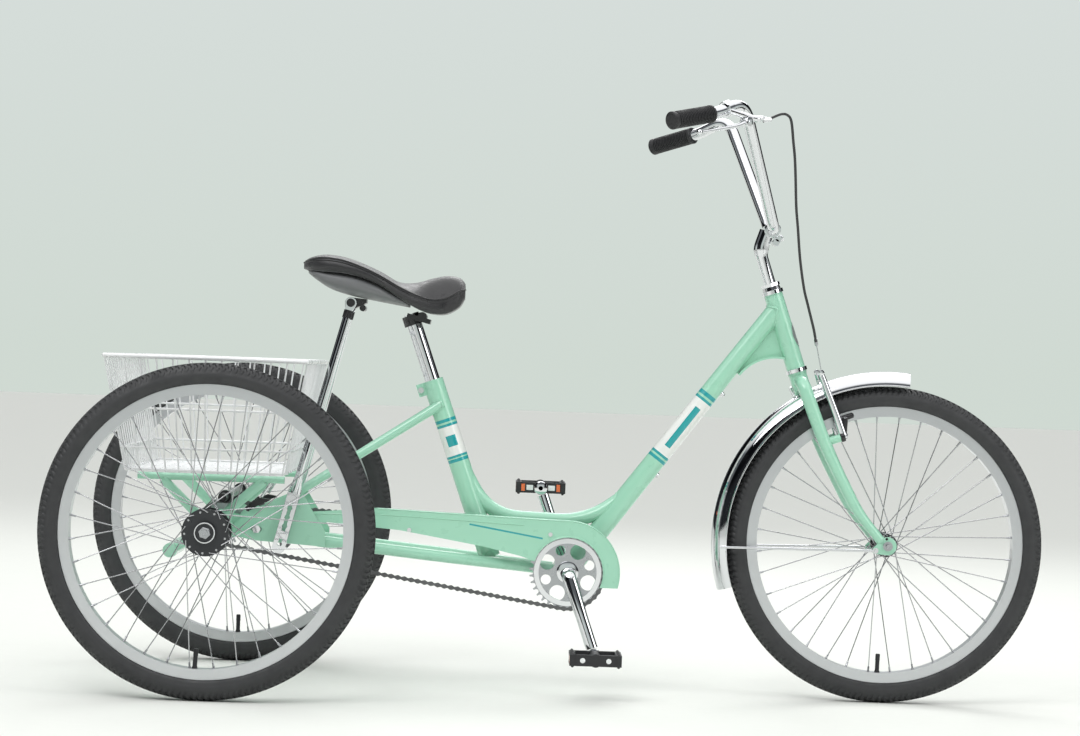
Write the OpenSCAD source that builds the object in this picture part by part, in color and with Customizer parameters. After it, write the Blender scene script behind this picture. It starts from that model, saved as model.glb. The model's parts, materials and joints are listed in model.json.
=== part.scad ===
// Adult tricycle with a step-through frame, a wire basket and one drive chain.
// Millimetres. The origin is on the ground midway between the axles.
// +X points forward, +Y to the rider's left and +Z up. The chain is on the right.

/* [Wheels] */
// Outer radius of the three tyres
wheel_r = 300; // [296:1:302]
// Width of the tyre section
tyre_w = 47; // [46:0.5:48]
// Distance between the rear axle and the front axle
wheelbase = 1250; // [1246:1:1256]
// Distance between the centre planes of the rear wheels
track = 670; // [664:2:680]
// Outer radius of the rims
rim_r = 262; // [261:0.5:263]
// Number of spokes in each wheel
spoke_count = 36; // [28, 32, 36]

/* [Frame] */
// Backward lean of the steering axis from vertical, degrees
head_lean = 19.1; // [18.8:0.1:19.4]
// Length of the head tube
head_len = 148; // [144:1:152]
// Outer radius of the head tube
head_r = 17.75; // [17.5:0.05:18]
// Backward lean of the seat tube from vertical, degrees
seat_lean = 20; // [19.5:0.1:20.5]
// Outer radius of the seat tube
seat_tube_r = 20; // [19.5:0.1:20.5]
// Outer radius of the seat post
post_r = 14.3; // [14.1:0.1:14.4]
// Radius of the down tube at the bottom bracket
down_r_low = 20.5; // [19:0.5:21]
// Radius of the down tube at the head tube
down_r_top = 17.5; // [16:0.5:18]
// Outer radius of the bottom bracket shell
shell_r = 28; // [27.5:0.5:28.5]
// Radius of the step-through tube
curved_r = 13.5; // [12:0.5:14]

/* [Drive] */
// Teeth on the chainring
ring_teeth = 34; // [34]
// Teeth on the rear sprocket
cog_teeth = 20; // [20]
// Length of a crank arm between centres
crank_len = 160; // [155:1:162]
// Lean of the right crank arm forward from straight down, degrees
crank_lean = 19.8; // [19:0.1:21]
// Distance of the chain from the middle plane
chain_y = 48; // [48:0.5:49]

/* [Handlebar] */
// Radius of the handlebar tube
bar_r = 11.1; // [10.9:0.1:11.2]
// Radius of the grips
grip_r = 16.5; // [15:0.5:17]

/* [Basket] */
// Height of the basket rim above the ground
basket_top = 607; // [603:1:612]
// Height of the basket floor above the ground
basket_low = 400; // [399:1:404]
// Width of the basket at the rim
basket_w = 560; // [550:2:566]

/* [Hidden] */

$fn = 48;
weld_gap = 0.05;
fit = 0.05;
paint = [0.60, 0.85, 0.74];
chrome = [0.82, 0.83, 0.85];
silver = [0.72, 0.73, 0.75];
black = [0.10, 0.10, 0.11];
white = [0.93, 0.93, 0.93];

// Axles
rear_x = -wheelbase / 2;
front_x = wheelbase / 2;
half_track = track / 2;
axle_r = 8;
axle_half = half_track + 43;
axle_end = 7;
axle_end_r = 6;
front_axle_r = 4.8;
front_end_r = 4;

// Tyre and rim sections
tyre_mid_r = wheel_r - tyre_w / 2;
casing_t = 3.3;
tube_r = 15;
rim_half_w = 14;
rim_wall = 1.9;
rim_depth = 19;

// Hubs
rear_flange_r = 42;
rear_hole_r = 36.6;
rear_flange_y = 26;
front_flange_r = 22;
front_hole_r = 18.5;
front_flange_y = 29;
spoke_r = 1;
spoke_out = 4.1;
spoke_in = 2.8;
spoke_hole_r = 1.3;
spoke_turn = 5;

// Steering axis
head_low = [445.5, 0, 628];
head_dir = [-sin(head_lean), 0, cos(head_lean)];
steerer_r = 12.7;
quill_r = 11.1;

// Bottom bracket and down tube
bb = [25, 0, 229];
down_top = [406, 0, 741];
shell_half = 34;
crank_spindle_r = 8;

// Seat tube, and the cross piece that it stands on
seat_dir = [-sin(seat_lean), 0, cos(seat_lean)];
seat_top = [-243, 0, 581];
seat_tube_len = 352;
lug_len = 70;
bridge = [-122.5, 0, 250.3];
bridge_r = 11;

// Axle plates and housings
plate_y = 64;
plate_t = 5;
axle_c = [rear_x, 0, wheel_r];
housing_r = 22;
housing_bore = 17.5;
housing_in = 57.5;
housing_out = 205;
bearing_w = 12;
carrier_bolt = [-560, 0, 291];
m8_r = 4;

// Rear struts: each turns on a bolt in an axle plate
strut_foot = [-511, 0, 283];
strut_head = [-401, 0, 721];
strut_run = strut_head - strut_foot;
strut_len = norm(strut_run);
strut_tilt = atan2(strut_run[0], strut_run[2]);
strut_y_low = 80;
strut_y_top = 32;
strut_straight = 140;
strut_r = 7;
strut_flat_t = 5;
strut_flat_w = 24;
hole_pitch = 17.25;
pivot_r = 4;
pivot_clear = 0.5;
second_bolt = 4 * hole_pitch;

// Basket
basket_rim_x = [-826, -462];
basket_floor_x = [-786, -497];
basket_floor_w = basket_w - 60;
wire_w = 3;
rail_y = 145;

// Chain
pitch = 12.7;
ring_pitch_r = pitch / (2 * sin(180 / ring_teeth));
cog_pitch_r = pitch / (2 * sin(180 / cog_teeth));
link_h = 4.3;
roller_r = 3.75;
link_count = 130;
axle_span = norm([bb[0] - rear_x, bb[2] - wheel_r]);
span_angle = atan2(bb[2] - wheel_r, bb[0] - rear_x);
wrap_angle = acos((cog_pitch_r - ring_pitch_r) / axle_span);
top_normal = span_angle + wrap_angle;
low_normal = span_angle - wrap_angle;
run_len = sqrt(axle_span^2 - (ring_pitch_r - cog_pitch_r)^2);
ring_arc = ring_pitch_r * (2 * wrap_angle) * PI / 180;
cog_arc = cog_pitch_r * (360 - 2 * wrap_angle) * PI / 180;
loop_len = 2 * run_len + ring_arc + cog_arc;
link_step = loop_len / link_count;

// Cranks and pedals
crank_dir = [sin(crank_lean), 0, -cos(crank_lean)];
pedal_in = 99;
pedal_out = 182;
pedal_len = 96;
pedal_h = 27;
pedal_spindle_r = 5;

// Fork
crown_s = -27;
blade_y = 50;
blade_r = [13, 13, 13, 13, 13, 13, 12.6, 12, 11.3, 10.4, 9.4, 9];
tab_r = 17;
brake_pivot = [534, 0, 502];
brake_dir = [cos(head_lean), 0, sin(head_lean)];
brake_y = 46;
fender_r = 328;
fender_half_w = 30;
fender_from = 83.4;
fender_to = 197.2;

// Handlebar corners on the right side
bar_mid = [390, 0, 889];
bar_points = [[390, -44, 889], [314, -182, 1112], [260, -232, 1086], [177, -305, 1063]];
grip_dir = unit(bar_points[3] - bar_points[2]);
grip_start = bar_points[2] + 14 * grip_dir;
grip_end = bar_points[3] + 5 * grip_dir;
lever_pivot = [316, -219, 1073];
lever_len = 122;
lever_axis = unit([-0.66, 0.751, 0]);

// Route of the brake cable, from the lever down to the brake
cable_points = [[354, -203, 1079], [368, -198, 1086], [382, -193, 1092], [393, -190, 1091],
    [401, -186, 1080], [407, -175, 1045], [412, -165, 1015], [416, -153, 979],
    [421, -135, 927], [427, -122, 887], [435, -103, 832], [446, -85, 779],
    [455, -75, 750], [464, -66, 722], [471, -58, 700], [476, -52, 679]];
wire_points = [[476, -52, 679], [483, -47, 650], [489, -41, 626], [490, -35, 622]];

// ---------- helpers ----------
function unit(v) = v / norm(v);
function flip(p) = [p[0], -p[1], p[2]];
function lerp(a, b, t) = a + (b - a) * t;
function on_axis(s) = head_low + s * head_dir;
function polar(c, r, a) = [c[0] + r * cos(a), c[1], c[2] + r * sin(a)];

// A corner turned into a curve that starts and ends d from it
function corner(p, c, q, d, n) =
    let(a = c + unit(p - c) * d, b = c + unit(q - c) * d)
    [for (i = [0:n]) let(t = i / n) (1 - t)^2 * a + 2 * t * (1 - t) * c + t^2 * b];

// A polyline whose inner corners are rounded by the distances in d
function rounded(p, d, n = 5) = concat([p[0]],
    [for (i = [1:len(p) - 2]) each corner(p[i - 1], p[i], p[i + 1], d[i - 1], n)],
    [p[len(p) - 1]]);

function headings(p) = [for (i = [0:len(p) - 1])
    i == 0 ? unit(p[1] - p[0])
    : i == len(p) - 1 ? unit(p[i] - p[i - 1])
    : unit(unit(p[i + 1] - p[i]) + unit(p[i] - p[i - 1]))];

// A side direction carried along the headings without twisting
function carried(t, n, i = 0) = i == len(t) ? []
    : let(m = unit(n - (n * t[i]) * t[i])) concat([m], carried(t, m, i + 1));

function ring(p, t, n, r, k) =
    [for (j = [0:k - 1]) let(a = 360 * j / k) p + r * (cos(a) * n + sin(a) * cross(t, n))];

function strip(a, b, k) =
    [for (j = [0:k - 1]) [b + j, b + (j + 1) % k, a + (j + 1) % k, a + j]];

function radius_at(r, i) = is_list(r) ? r[min(i, len(r) - 1)] : r;

// A tube or bar swept along points, hollow when wall is over 0
module sweep(p, r, k = 12, wall = 0, side = [0, 1, 0]) {
    t = headings(p);
    n = carried(t, side);
    m = len(p);
    outer = [for (i = [0:m - 1]) each ring(p[i], t[i], n[i], radius_at(r, i), k)];
    inner = wall > 0
        ? [for (i = [0:m - 1]) each ring(p[i], t[i], n[i], radius_at(r, i) - wall, k)]
        : [];
    skin = [for (i = [0:m - 2]) each strip(i * k, (i + 1) * k, k)];
    last = (m - 1) * k;
    o = m * k;
    lining = [for (i = [0:m - 2]) each strip(o + (i + 1) * k, o + i * k, k)];
    ends = wall > 0
        ? concat(strip(o, 0, k), strip(last, o + last, k))
        : [[for (j = [0:k - 1]) j], [for (j = [k - 1:-1:0]) last + j]];
    polyhedron(concat(outer, inner), concat(skin, ends, wall > 0 ? lining : []),
        convexity = 8);
}

// A straight bar between two points, tapered when r2 is given
module rod(a, b, r, r2 = undef) {
    d = b - a;
    translate(a)
        rotate([0, acos(d[2] / norm(d)), atan2(d[1], d[0])])
            cylinder(h = norm(d), r1 = r, r2 = is_undef(r2) ? r : r2);
}

module pipe(a, b, r, wall, r2 = undef) {
    e = unit(b - a);
    end_r = is_undef(r2) ? r : r2;
    difference() {
        rod(a, b, r, end_r);
        rod(a - e, b + e, r - wall, end_r - wall);
    }
}

// A cylinder along Y at x, z
module ycyl(c, r, y0, y1) {
    translate([c[0], y0, c[2]])
        rotate([-90, 0, 0])
            cylinder(h = y1 - y0, r = r);
}

module both_sides() {
    children();
    mirror([0, 1, 0])
        children();
}

// Places children on the steering axis, s above the head tube's lower end
module on_head(s) {
    translate(on_axis(s))
        rotate([0, -head_lean, 0])
            children();
}

// A flat outline drawn in X and Z, as a sheet between y0 and y1
module sheet(y0, y1) {
    translate([0, y1, 0])
        rotate([90, 0, 0])
            linear_extrude(y1 - y0)
                children();
}

// A section drawn in radius and width, turned about the Y axis at c
module around(c, from = 0, sweep_angle = 360) {
    translate(c)
        rotate([90, 0, 0])
            rotate([0, 0, from])
                rotate_extrude(angle = sweep_angle)
                    children();
}

// ---------- frame ----------
module head_tube() {
    color(paint)
        difference() {
            on_head(0)
                cylinder(h = head_len, r = head_r);
            on_head(-1)
                cylinder(h = head_len + 2, r = head_r - 2.75);
        }
}

module down_tube() {
    axis = unit(down_top - bb);
    color(paint)
        difference() {
            rod(bb, down_top, down_r_low, down_r_top);
            rod(bb - axis, down_top + axis, down_r_low - 1.8, down_r_top - 1.8);
            ycyl(bb, shell_r + weld_gap, -40, 40);
            on_head(-5)
                cylinder(h = head_len + 10, r = head_r + weld_gap);
        }
}

module curved_tube() {
    points = rounded([[-190, 0, 436], [-128, 0, 328], [58, 0, 322], [150, 0, 390]], [62, 58], 6);
    color(paint)
        difference() {
            sweep(points, curved_r, 16, 1.6);
            rod(seat_top - seat_tube_len * seat_dir, seat_top, seat_tube_r + weld_gap);
            rod(bb, down_top, down_r_low + weld_gap, down_r_top + weld_gap);
        }
}

module seat_tube() {
    foot = seat_top - seat_tube_len * seat_dir;
    color(paint)
        difference() {
            union() {
                rod(foot, seat_top, seat_tube_r);
                clamp_ears();
            }
            rod(foot - seat_dir, seat_top - lug_len * seat_dir, seat_tube_r - 2);
            rod(foot, seat_top + seat_dir, post_r + fit);
            ycyl(bridge, bridge_r + weld_gap, -30, 30);
            translate(seat_top - 22 * seat_dir)
                rotate([0, -seat_lean, 0])
                    translate([-40, -1.5, -20])
                        cube([26, 3, 60]);
            ycyl(seat_top - 12 * seat_dir - [25, 0, 9], 3.1, -20, 20);
        }
}

// Two ears behind the top of the seat tube, drawn together by a bolt
module clamp_ears() {
    translate(seat_top)
        rotate([0, -seat_lean, 0])
            translate([-33, -8, -24])
                cube([20, 16, 24]);
}

module head_gusset() {
    arch = [408, 0, 560];
    arch_r = 89.5;
    color(paint)
        difference() {
            union() {
                sheet(-2, 2)
                    difference() {
                        polygon([[332, 638], [404, 740], [436, 655], [420, 645], [336, 612]]);
                        translate([arch[0], arch[2]])
                            circle(r = arch_r);
                    }
                sheet(-12, 12)
                    intersection() {
                        translate([arch[0], arch[2]])
                            difference() {
                                circle(r = arch_r);
                                circle(r = arch_r - 4);
                            }
                        polygon([[408, 560], [320, 625], [340, 700], [424, 690], [424, 630]]);
                    }
            }
            rod(bb, down_top, down_r_low + weld_gap, down_r_top + weld_gap);
            on_head(-5)
                cylinder(h = head_len + 10, r = head_r + weld_gap);
        }
}

module bottom_bracket_shell() {
    color(paint)
        difference() {
            ycyl(bb, shell_r, -shell_half, shell_half);
            ycyl(bb, shell_r - 2.4, -shell_half - 1, shell_half + 1);
        }
}

module chainstays() {
    right = rounded([[-3.5, -22, 231.7], [-62, -24, 237.2], [-190, -52, 248.9], [-446, -52, 272]],
        [16, 40], 3);
    color(paint) {
        both_sides()
            sweep(right, 11, 12, 1.5);
        difference() {
            ycyl(bridge, bridge_r, -25, 25);
            ycyl(bridge, bridge_r - 2, -26, 26);
        }
    }
}

module seat_stays() {
    color(paint)
        both_sides()
            difference() {
                pipe([-222, -14, 538], [-497, -55, 355], 9.5, 1.5, 8);
                rod(seat_top - seat_tube_len * seat_dir, seat_top, seat_tube_r + weld_gap);
            }
}

// Outline of an axle plate, with its slot for the chain adjusting bolt
module plate_outline() {
    difference() {
        polygon([[-606, 297], [-573, 326], [-537, 342], [-503, 357], [-481, 367],
            [-432, 290], [-431, 262], [-496, 266], [-568, 270], [-602, 278]]);
        translate([rear_x, wheel_r])
            circle(r = housing_r + 0.3);
        translate([strut_foot[0], strut_foot[2]])
            circle(r = m8_r + fit);
        translate([strut_foot[0], strut_foot[2]])
            rotate(90 - strut_tilt)
                translate([second_bolt, 0])
                    circle(r = 6.2);
        for (side = [-6, 6])
            translate([carrier_bolt[0] + side, carrier_bolt[2]])
                circle(r = m8_r + 0.2);
        translate([carrier_bolt[0] - 6, carrier_bolt[2] - m8_r - 0.2])
            square([12, 2 * m8_r + 0.4]);
    }
}

module axle_plates() {
    color(paint)
        both_sides()
            sheet(-plate_y - plate_t, -plate_y)
                plate_outline();
}

// A housing tube on each side, with the arm that bolts to the axle plate
module axle_housings() {
    color(paint)
        both_sides()
            difference() {
                union() {
                    ycyl(axle_c, housing_r, -housing_out, -housing_in);
                    sheet(-plate_y + 0.5, -housing_in)
                        hull() {
                            translate([rear_x, wheel_r])
                                circle(r = housing_r + 4);
                            translate([carrier_bolt[0], carrier_bolt[2]])
                                circle(r = 15);
                        }
                }
                ycyl(axle_c, housing_bore, -housing_out - 1, -housing_in + 1);
                ycyl(carrier_bolt, m8_r + fit, -80, -40);
            }
}

module bearing_ring(c, y0) {
    difference() {
        ycyl(c, housing_bore - 0.02, y0, y0 + bearing_w);
        ycyl(c, axle_r + fit, y0 - 1, y0 + bearing_w + 1);
    }
}

module ball_ring(r, ball) {
    rotate_extrude()
        translate([r, 0])
            circle(r = ball);
}

// The sealed axle bearings and the ball rings of the headset and cranks
module frame_bearings() {
    color(silver) {
        both_sides() {
            bearing_ring(axle_c, -housing_out + 1);
            bearing_ring(axle_c, -housing_in - bearing_w - 1);
            translate([bb[0], -31, bb[2]])
                rotate([90, 0, 0])
                    ball_ring(18, 3);
        }
        on_head(-5)
            ball_ring(16.5, 1.7);
        on_head(head_len + 5)
            ball_ring(16.5, 1.7);
    }
}

// A bolt along Y with a hexagon head outside and a nut inside
module hex_bolt(c, r, head_y, nut_y, head_r) {
    ycyl(c, r, head_y, nut_y);
    translate([c[0], head_y - 5, c[2]])
        rotate([-90, 0, 0])
            cylinder(h = 5, r = head_r, $fn = 6);
    difference() {
        translate([c[0], nut_y - 5, c[2]])
            rotate([-90, 0, 0])
                cylinder(h = 5, r = head_r, $fn = 6);
    }
}

module frame_bolts() {
    color(chrome) {
        both_sides()
            hex_bolt(carrier_bolt, m8_r, -plate_y - plate_t, -housing_in + 5.2, 8);
        seat_bolt = seat_top - 12 * seat_dir - [25, 0, 9];
        ycyl(seat_bolt, 3, -16, 13);
        ycyl(seat_bolt, 5.5, -13, -8.1);
        ycyl(seat_bolt, 5.5, 8.1, 13);
        both_sides()
            rod([-552, -71, 352], [-531, -71, 387], 3);
        ycyl([-275, 0, 299], 4, -64.6, -63.1);
        ycyl([-10, 0, 300], 4, -64.6, -63.1);
        rod([305.8, 0, 574.9], [311, 0, 571], 4);
    }
}

module basket_struts() {
    color(paint)
        both_sides()
            difference() {
                union() {
                    rod([-637, -rail_y, 300], [-544, -rail_y, 384.3], 9);
                    rod([-643, -rail_y, 300], [-729, -rail_y, 382], 9);
                    rod([-775, -rail_y, 388], [-505, -rail_y, 388], 7);
                }
                ycyl(axle_c, housing_r + weld_gap, -190, -100);
            }
}

module rear_cross_tube() {
    back = [-705, 0, 255];
    color(paint) {
        ycyl(back, 13, -202, 202);
        both_sides()
            difference() {
                rod([rear_x, -190, wheel_r], [-694.5, -190, 261], 8);
                ycyl(axle_c, housing_r + weld_gap, -210, -170);
                ycyl(back, 13 + weld_gap, -210, -170);
            }
    }
}

// A black bar across the frame, held on the front basket legs
module brace_bar() {
    bar = [-613, 0, 354];
    color(black) {
        ycyl(bar, 8, -202, 202);
        both_sides() {
            ycyl(bar, 12, -154, -136);
            sheet(-76, -66)
                polygon([[-576, 338], [-553, 350], [-534, 347], [-541, 343], [-573, 329]]);
        }
    }
}

// ---------- basket ----------
// A flat wire panel: low and high are half lengths, with n gaps along it
module wire_panel(low, high, h, n, levels) {
    w = wire_w / 2;
    function edge(i, v) = lerp(-1, 1, i / n) * lerp(low, high, v / h);
    cells = [for (i = [0:n - 1]) for (j = [0:len(levels) - 2])
        let(v0 = levels[j] + w, v1 = levels[j + 1] - w)
        [[edge(i, v0) + w, v0], [edge(i + 1, v0) - w, v0],
         [edge(i + 1, v1) - w, v1], [edge(i, v1) + w, v1]]];
    outline = [[-low - w, 0], [low + w, 0], [high + w, h], [-high - w, h]];
    points = concat(outline, [for (c = cells) each c]);
    paths = concat([[0, 1, 2, 3]],
        [for (k = [0:len(cells) - 1]) [for (j = [0:3]) 4 + 4 * k + j]]);
    rotate([90, 0, 0])
        linear_extrude(wire_w, center = true)
            polygon(points, paths);
}

module basket_wall(foot, dx, dy, low, high, turn, n) {
    rise = basket_top - basket_low - 6;
    run = dx + dy;
    h = norm([run, rise]);
    translate(foot)
        rotate([0, 0, turn])
            rotate([-atan2(run, rise), 0, 0])
                wire_panel(low, high, h, n, [wire_w / 2, 45, 118, h - wire_w / 2]);
}

module basket_wires() {
    mid_x = (basket_floor_x[0] + basket_floor_x[1]) / 2;
    floor_half = (basket_floor_x[1] - basket_floor_x[0]) / 2;
    rim_half = (basket_rim_x[1] - basket_rim_x[0]) / 2;
    side_run = (basket_w - basket_floor_w) / 2;
    corner_gap = 5;
    color(white) {
        translate([mid_x, 0, basket_low - 0.5])
            rotate([90, 0, 0])
                wire_floor(floor_half - 2, basket_floor_w / 2 - 2);
        for (turn = [0, 180])
            basket_wall([mid_x, (turn == 0 ? 1 : -1) * basket_floor_w / 2, basket_low],
                side_run, 0, floor_half - corner_gap, rim_half - corner_gap, turn, 12);
        basket_wall([basket_floor_x[1], 0, basket_low], basket_rim_x[1] - basket_floor_x[1], 0,
            basket_floor_w / 2 - corner_gap, basket_w / 2 - corner_gap, -90, 18);
        basket_wall([basket_floor_x[0], 0, basket_low], basket_floor_x[0] - basket_rim_x[0], 0,
            basket_floor_w / 2 - corner_gap, basket_w / 2 - corner_gap, 90, 18);
    }
}

module wire_floor(half_x, half_y) {
    w = wire_w / 2;
    nx = 10;
    ny = 16;
    function fx(i) = lerp(-half_x, half_x, i / nx);
    function fy(j) = lerp(-half_y, half_y, j / ny);
    cells = [for (i = [0:nx - 1]) for (j = [0:ny - 1])
        [[fx(i) + w, fy(j) + w], [fx(i + 1) - w, fy(j) + w],
         [fx(i + 1) - w, fy(j + 1) - w], [fx(i) + w, fy(j + 1) - w]]];
    outline = [[-half_x, -half_y], [half_x, -half_y], [half_x, half_y], [-half_x, half_y]];
    points = concat(outline, [for (c = cells) each c]);
    paths = concat([[0, 1, 2, 3]],
        [for (k = [0:len(cells) - 1]) [for (j = [0:3]) 4 + 4 * k + j]]);
    rotate([-90, 0, 0])
        translate([0, 0, -4])
            linear_extrude(wire_w)
                polygon(points, paths);
}

module basket_rim() {
    r = 4;
    x0 = basket_rim_x[0];
    x1 = basket_rim_x[1];
    y = basket_w / 2;
    color(white) {
        for (x = [x0, x1])
            ycyl([x, 0, basket_top], r, -y, y);
        both_sides()
            rod([x0, -y, basket_top], [x1, -y, basket_top], r);
        for (x = [x0, x1])
            for (side = [-y, y])
                translate([x, side, basket_top])
                    sphere(r = r);
    }
}

// ---------- chain drive ----------
guard_y = 63;
guard_t = 1.6;
guard_r = 98;
guard_hole_r = 66;

module guard_outline() {
    difference() {
        union() {
            polygon([[-480, 325], [-335, 338], [-21, 328], [25, 327], [25, 229],
                [-66, 258], [-134, 273], [-292, 298], [-480, 312]]);
            intersection() {
                translate([bb[0], bb[2]])
                    circle(r = guard_r);
                polygon([[24, 230], [24, 340], [140, 340], [140, 203], [72, 203]]);
            }
        }
        translate([bb[0], bb[2]])
            circle(r = guard_hole_r);
    }
}

module chainguard() {
    lip = 22;
    color(paint) {
        sheet(-guard_y, -guard_y + guard_t)
            guard_outline();
        sheet(-guard_y + guard_t, -guard_y + lip)
            union() {
                polygon([[-385, 333.5], [-335, 338], [-21, 328], [25, 327],
                    [25, 325.4], [-21, 326.4], [-335, 336.4], [-385, 331.9]]);
                intersection() {
                    translate([bb[0], bb[2]])
                        difference() {
                            circle(r = guard_r);
                            circle(r = guard_r - guard_t);
                        }
                    polygon([[24, 230], [24, 340], [140, 340], [140, 203], [72, 203]]);
                }
            }
    }
}

module bearing_cups() {
    color(chrome) {
        both_sides()
            difference() {
                union() {
                    ycyl(bb, shell_r - 0.5, -shell_half - 4, -shell_half - 0.02);
                    ycyl(bb, shell_r - 2.42, -shell_half, -shell_half + 8);
                }
                ycyl(bb, 14, -shell_half - 5, -shell_half + 9);
                ycyl(bb, 22, -34.5, -shell_half + 9);
            }
        headset_cup(0, -1);
        headset_cup(head_len, 1);
    }
}

// A pressed cup with a lip outside the head tube and a race for the balls
module headset_cup(s, way) {
    on_head(s)
        scale_z(way)
            difference() {
                union() {
                    translate([0, 0, 0.02])
                        cylinder(h = 7, r = 20.5);
                    translate([0, 0, -8])
                        cylinder(h = 9, r = head_r - 2.77);
                }
                translate([0, 0, -9])
                    cylinder(h = 18, r = steerer_r + 1);
                translate([0, 0, 3])
                    cylinder(h = 5, r = 18.6);
            }
}

module scale_z(way) {
    mirror([0, 0, way < 0 ? 1 : 0])
        children();
}

// Position and place of a point at distance d along the chain, from the top run
function chain_at(d) =
    d < run_len ? lerp(polar(bb, ring_pitch_r, top_normal),
        polar(axle_c, cog_pitch_r, top_normal), d / run_len)
    : d < run_len + cog_arc
        ? polar(axle_c, cog_pitch_r, top_normal + (d - run_len) / cog_pitch_r * 180 / PI)
    : d < 2 * run_len + cog_arc
        ? lerp(polar(axle_c, cog_pitch_r, low_normal), polar(bb, ring_pitch_r, low_normal),
            (d - run_len - cog_arc) / run_len)
    : polar(bb, ring_pitch_r,
        low_normal + (d - 2 * run_len - cog_arc) / ring_pitch_r * 180 / PI);

module chain_outline(grow) {
    hull() {
        translate([bb[0], bb[2]])
            circle(r = ring_pitch_r + grow, $fn = 96);
        translate([rear_x, wheel_r])
            circle(r = cog_pitch_r + grow, $fn = 72);
    }
}

module chain() {
    inner = 1.9;
    outer = 4.2;
    color(black) {
        for (side = [[-outer, -inner - 1.2], [inner + 1.2, outer]])
            sheet(-chain_y + side[0], -chain_y + side[1])
                difference() {
                    chain_outline(link_h);
                    chain_outline(-link_h);
                }
        for (k = [0:link_count - 1])
            ycyl(chain_at(k * link_step), roller_r, -chain_y - inner - 1, -chain_y + inner + 1);
    }
}

// A toothed disc whose first gap is at the given angle. Each gap is a round
// seat that opens outward.
module toothed(teeth, pitch_r, tip, gap_angle) {
    seat = roller_r + 0.6;
    difference() {
        circle(r = pitch_r + tip);
        for (k = [0:teeth - 1])
            rotate(gap_angle + 360 * k / teeth)
                translate([pitch_r, 0]) {
                    circle(r = seat);
                    polygon([[0, -seat], [8, -seat - 2.5], [8, seat + 2.5], [0, seat]]);
                }
    }
}

module chainring() {
    arm = -90 + crank_lean;
    color(silver)
        sheet(-chain_y - 1.2, -chain_y + 1.2)
            translate([bb[0], bb[2]])
                difference() {
                    toothed(ring_teeth, ring_pitch_r, 3.2, top_normal);
                    circle(r = crank_spindle_r + 4.02);
                    for (k = [0:3]) {
                        rotate(arm + 45 + 90 * k)
                            translate([43, 0])
                                circle(r = 14.5);
                        rotate(arm + 90 * k)
                            translate([43, 0])
                                circle(r = 9.5);
                    }
                }
}

first_cog_roller = ceil(run_len / link_step);
cog_gap_angle = top_normal + (first_cog_roller * link_step - run_len) / cog_pitch_r * 180 / PI;

module rear_sprocket() {
    color(silver) {
        difference() {
            sheet(-chain_y - 1.2, -chain_y + 1.2)
                translate([rear_x, wheel_r])
                    toothed(cog_teeth, cog_pitch_r, 3.2, cog_gap_angle);
            ycyl(axle_c, 18, -60, -40);
        }
        difference() {
            ycyl(axle_c, 17.9, -chain_y - 4, -chain_y + 16);
            ycyl(axle_c, axle_r + 0.02, -60, -20);
        }
    }
}

// ---------- cranks and pedals ----------
// The one-piece crank: both arms and the spindle between them
module crank_arms() {
    a = crank_dir;
    right = [bb + [0, -20, 0], bb + [0, -42, 0], bb + [0, -58, 0], bb + 30 * a + [0, -65, 0],
        bb + 66 * a + [0, -80, 0], bb + 110 * a + [0, -87, 0],
        bb + (crank_len - 13.2) * a + [0, -89, 0]];
    color(chrome) {
        ycyl(bb, crank_spindle_r, -38, 38);
        crank_arm(right, crank_dir, -1);
        crank_arm([for (p = right) 2 * bb - p], -crank_dir, 1);
        both_sides()
            crank_cone();
    }
}

module crank_cone() {
    difference() {
        ycyl(bb, 13.4, -46.6, -25);
        ycyl(bb, crank_spindle_r + 0.02, -50, -20);
    }
}

module crank_arm(path, dir, side) {
    foot = bb + crank_len * dir;
    difference() {
        sweep([for (i = [1:len(path) - 1]) path[i]], [11, 11.5, 10.5, 9.3, 8.8, 8.6], 16, 0, dir);
        ycyl(bb, 100, min(0, side * 38), max(0, side * 38));
    }
    difference() {
        ycyl(foot, 13, side < 0 ? -96 : 80, side < 0 ? -80 : 96);
        ycyl(foot, pedal_spindle_r, -100, 100);
    }
    ycyl(foot, pedal_spindle_r - 0.02, side < 0 ? -pedal_out + 4 : 80,
        side < 0 ? -80 : pedal_out - 4);
}

module pedal(foot, side) {
    y0 = side < 0 ? -pedal_out : pedal_in;
    color(black)
        difference() {
            translate([foot[0] - pedal_len / 2, y0, foot[2] - pedal_h / 2])
                cube([pedal_len, pedal_out - pedal_in, pedal_h]);
            for (way = [-1, 1])
                translate([foot[0] + way * 27 - 15, y0 + 9, foot[2] - 20])
                    cube([30, pedal_out - pedal_in - 18, 40]);
            ycyl(foot, pedal_spindle_r + fit, y0 - 1, y0 + pedal_out - pedal_in + 1);
        }
}

// ---------- fork and steering ----------
module steerer_tube() {
    color(chrome)
        difference() {
            on_head(-38)
                cylinder(h = head_len + 38 + 20, r = steerer_r);
            on_head(-39)
                cylinder(h = head_len + 60, r = quill_r + fit);
        }
}

module fork_crown() {
    color(paint)
        difference() {
            union() {
                on_head(-40)
                    cylinder(h = 30, r = 17);
                on_head(-11)
                    cylinder(h = 3.6, r = 18.2);
            }
            on_head(-41)
                cylinder(h = 50, r = steerer_r + 0.01);
        }
}

// Blade centre line on the right side, from the crown to the dropout
blade_points = rounded([on_axis(crown_s) + [0, -17.2, 0], on_axis(crown_s) + [0, -blade_y, 0],
    [503, -blade_y, 480], [566, -blade_y, 363], [611.2, -blade_y, 310.3]], [28, 60, 30], 4);

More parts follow.
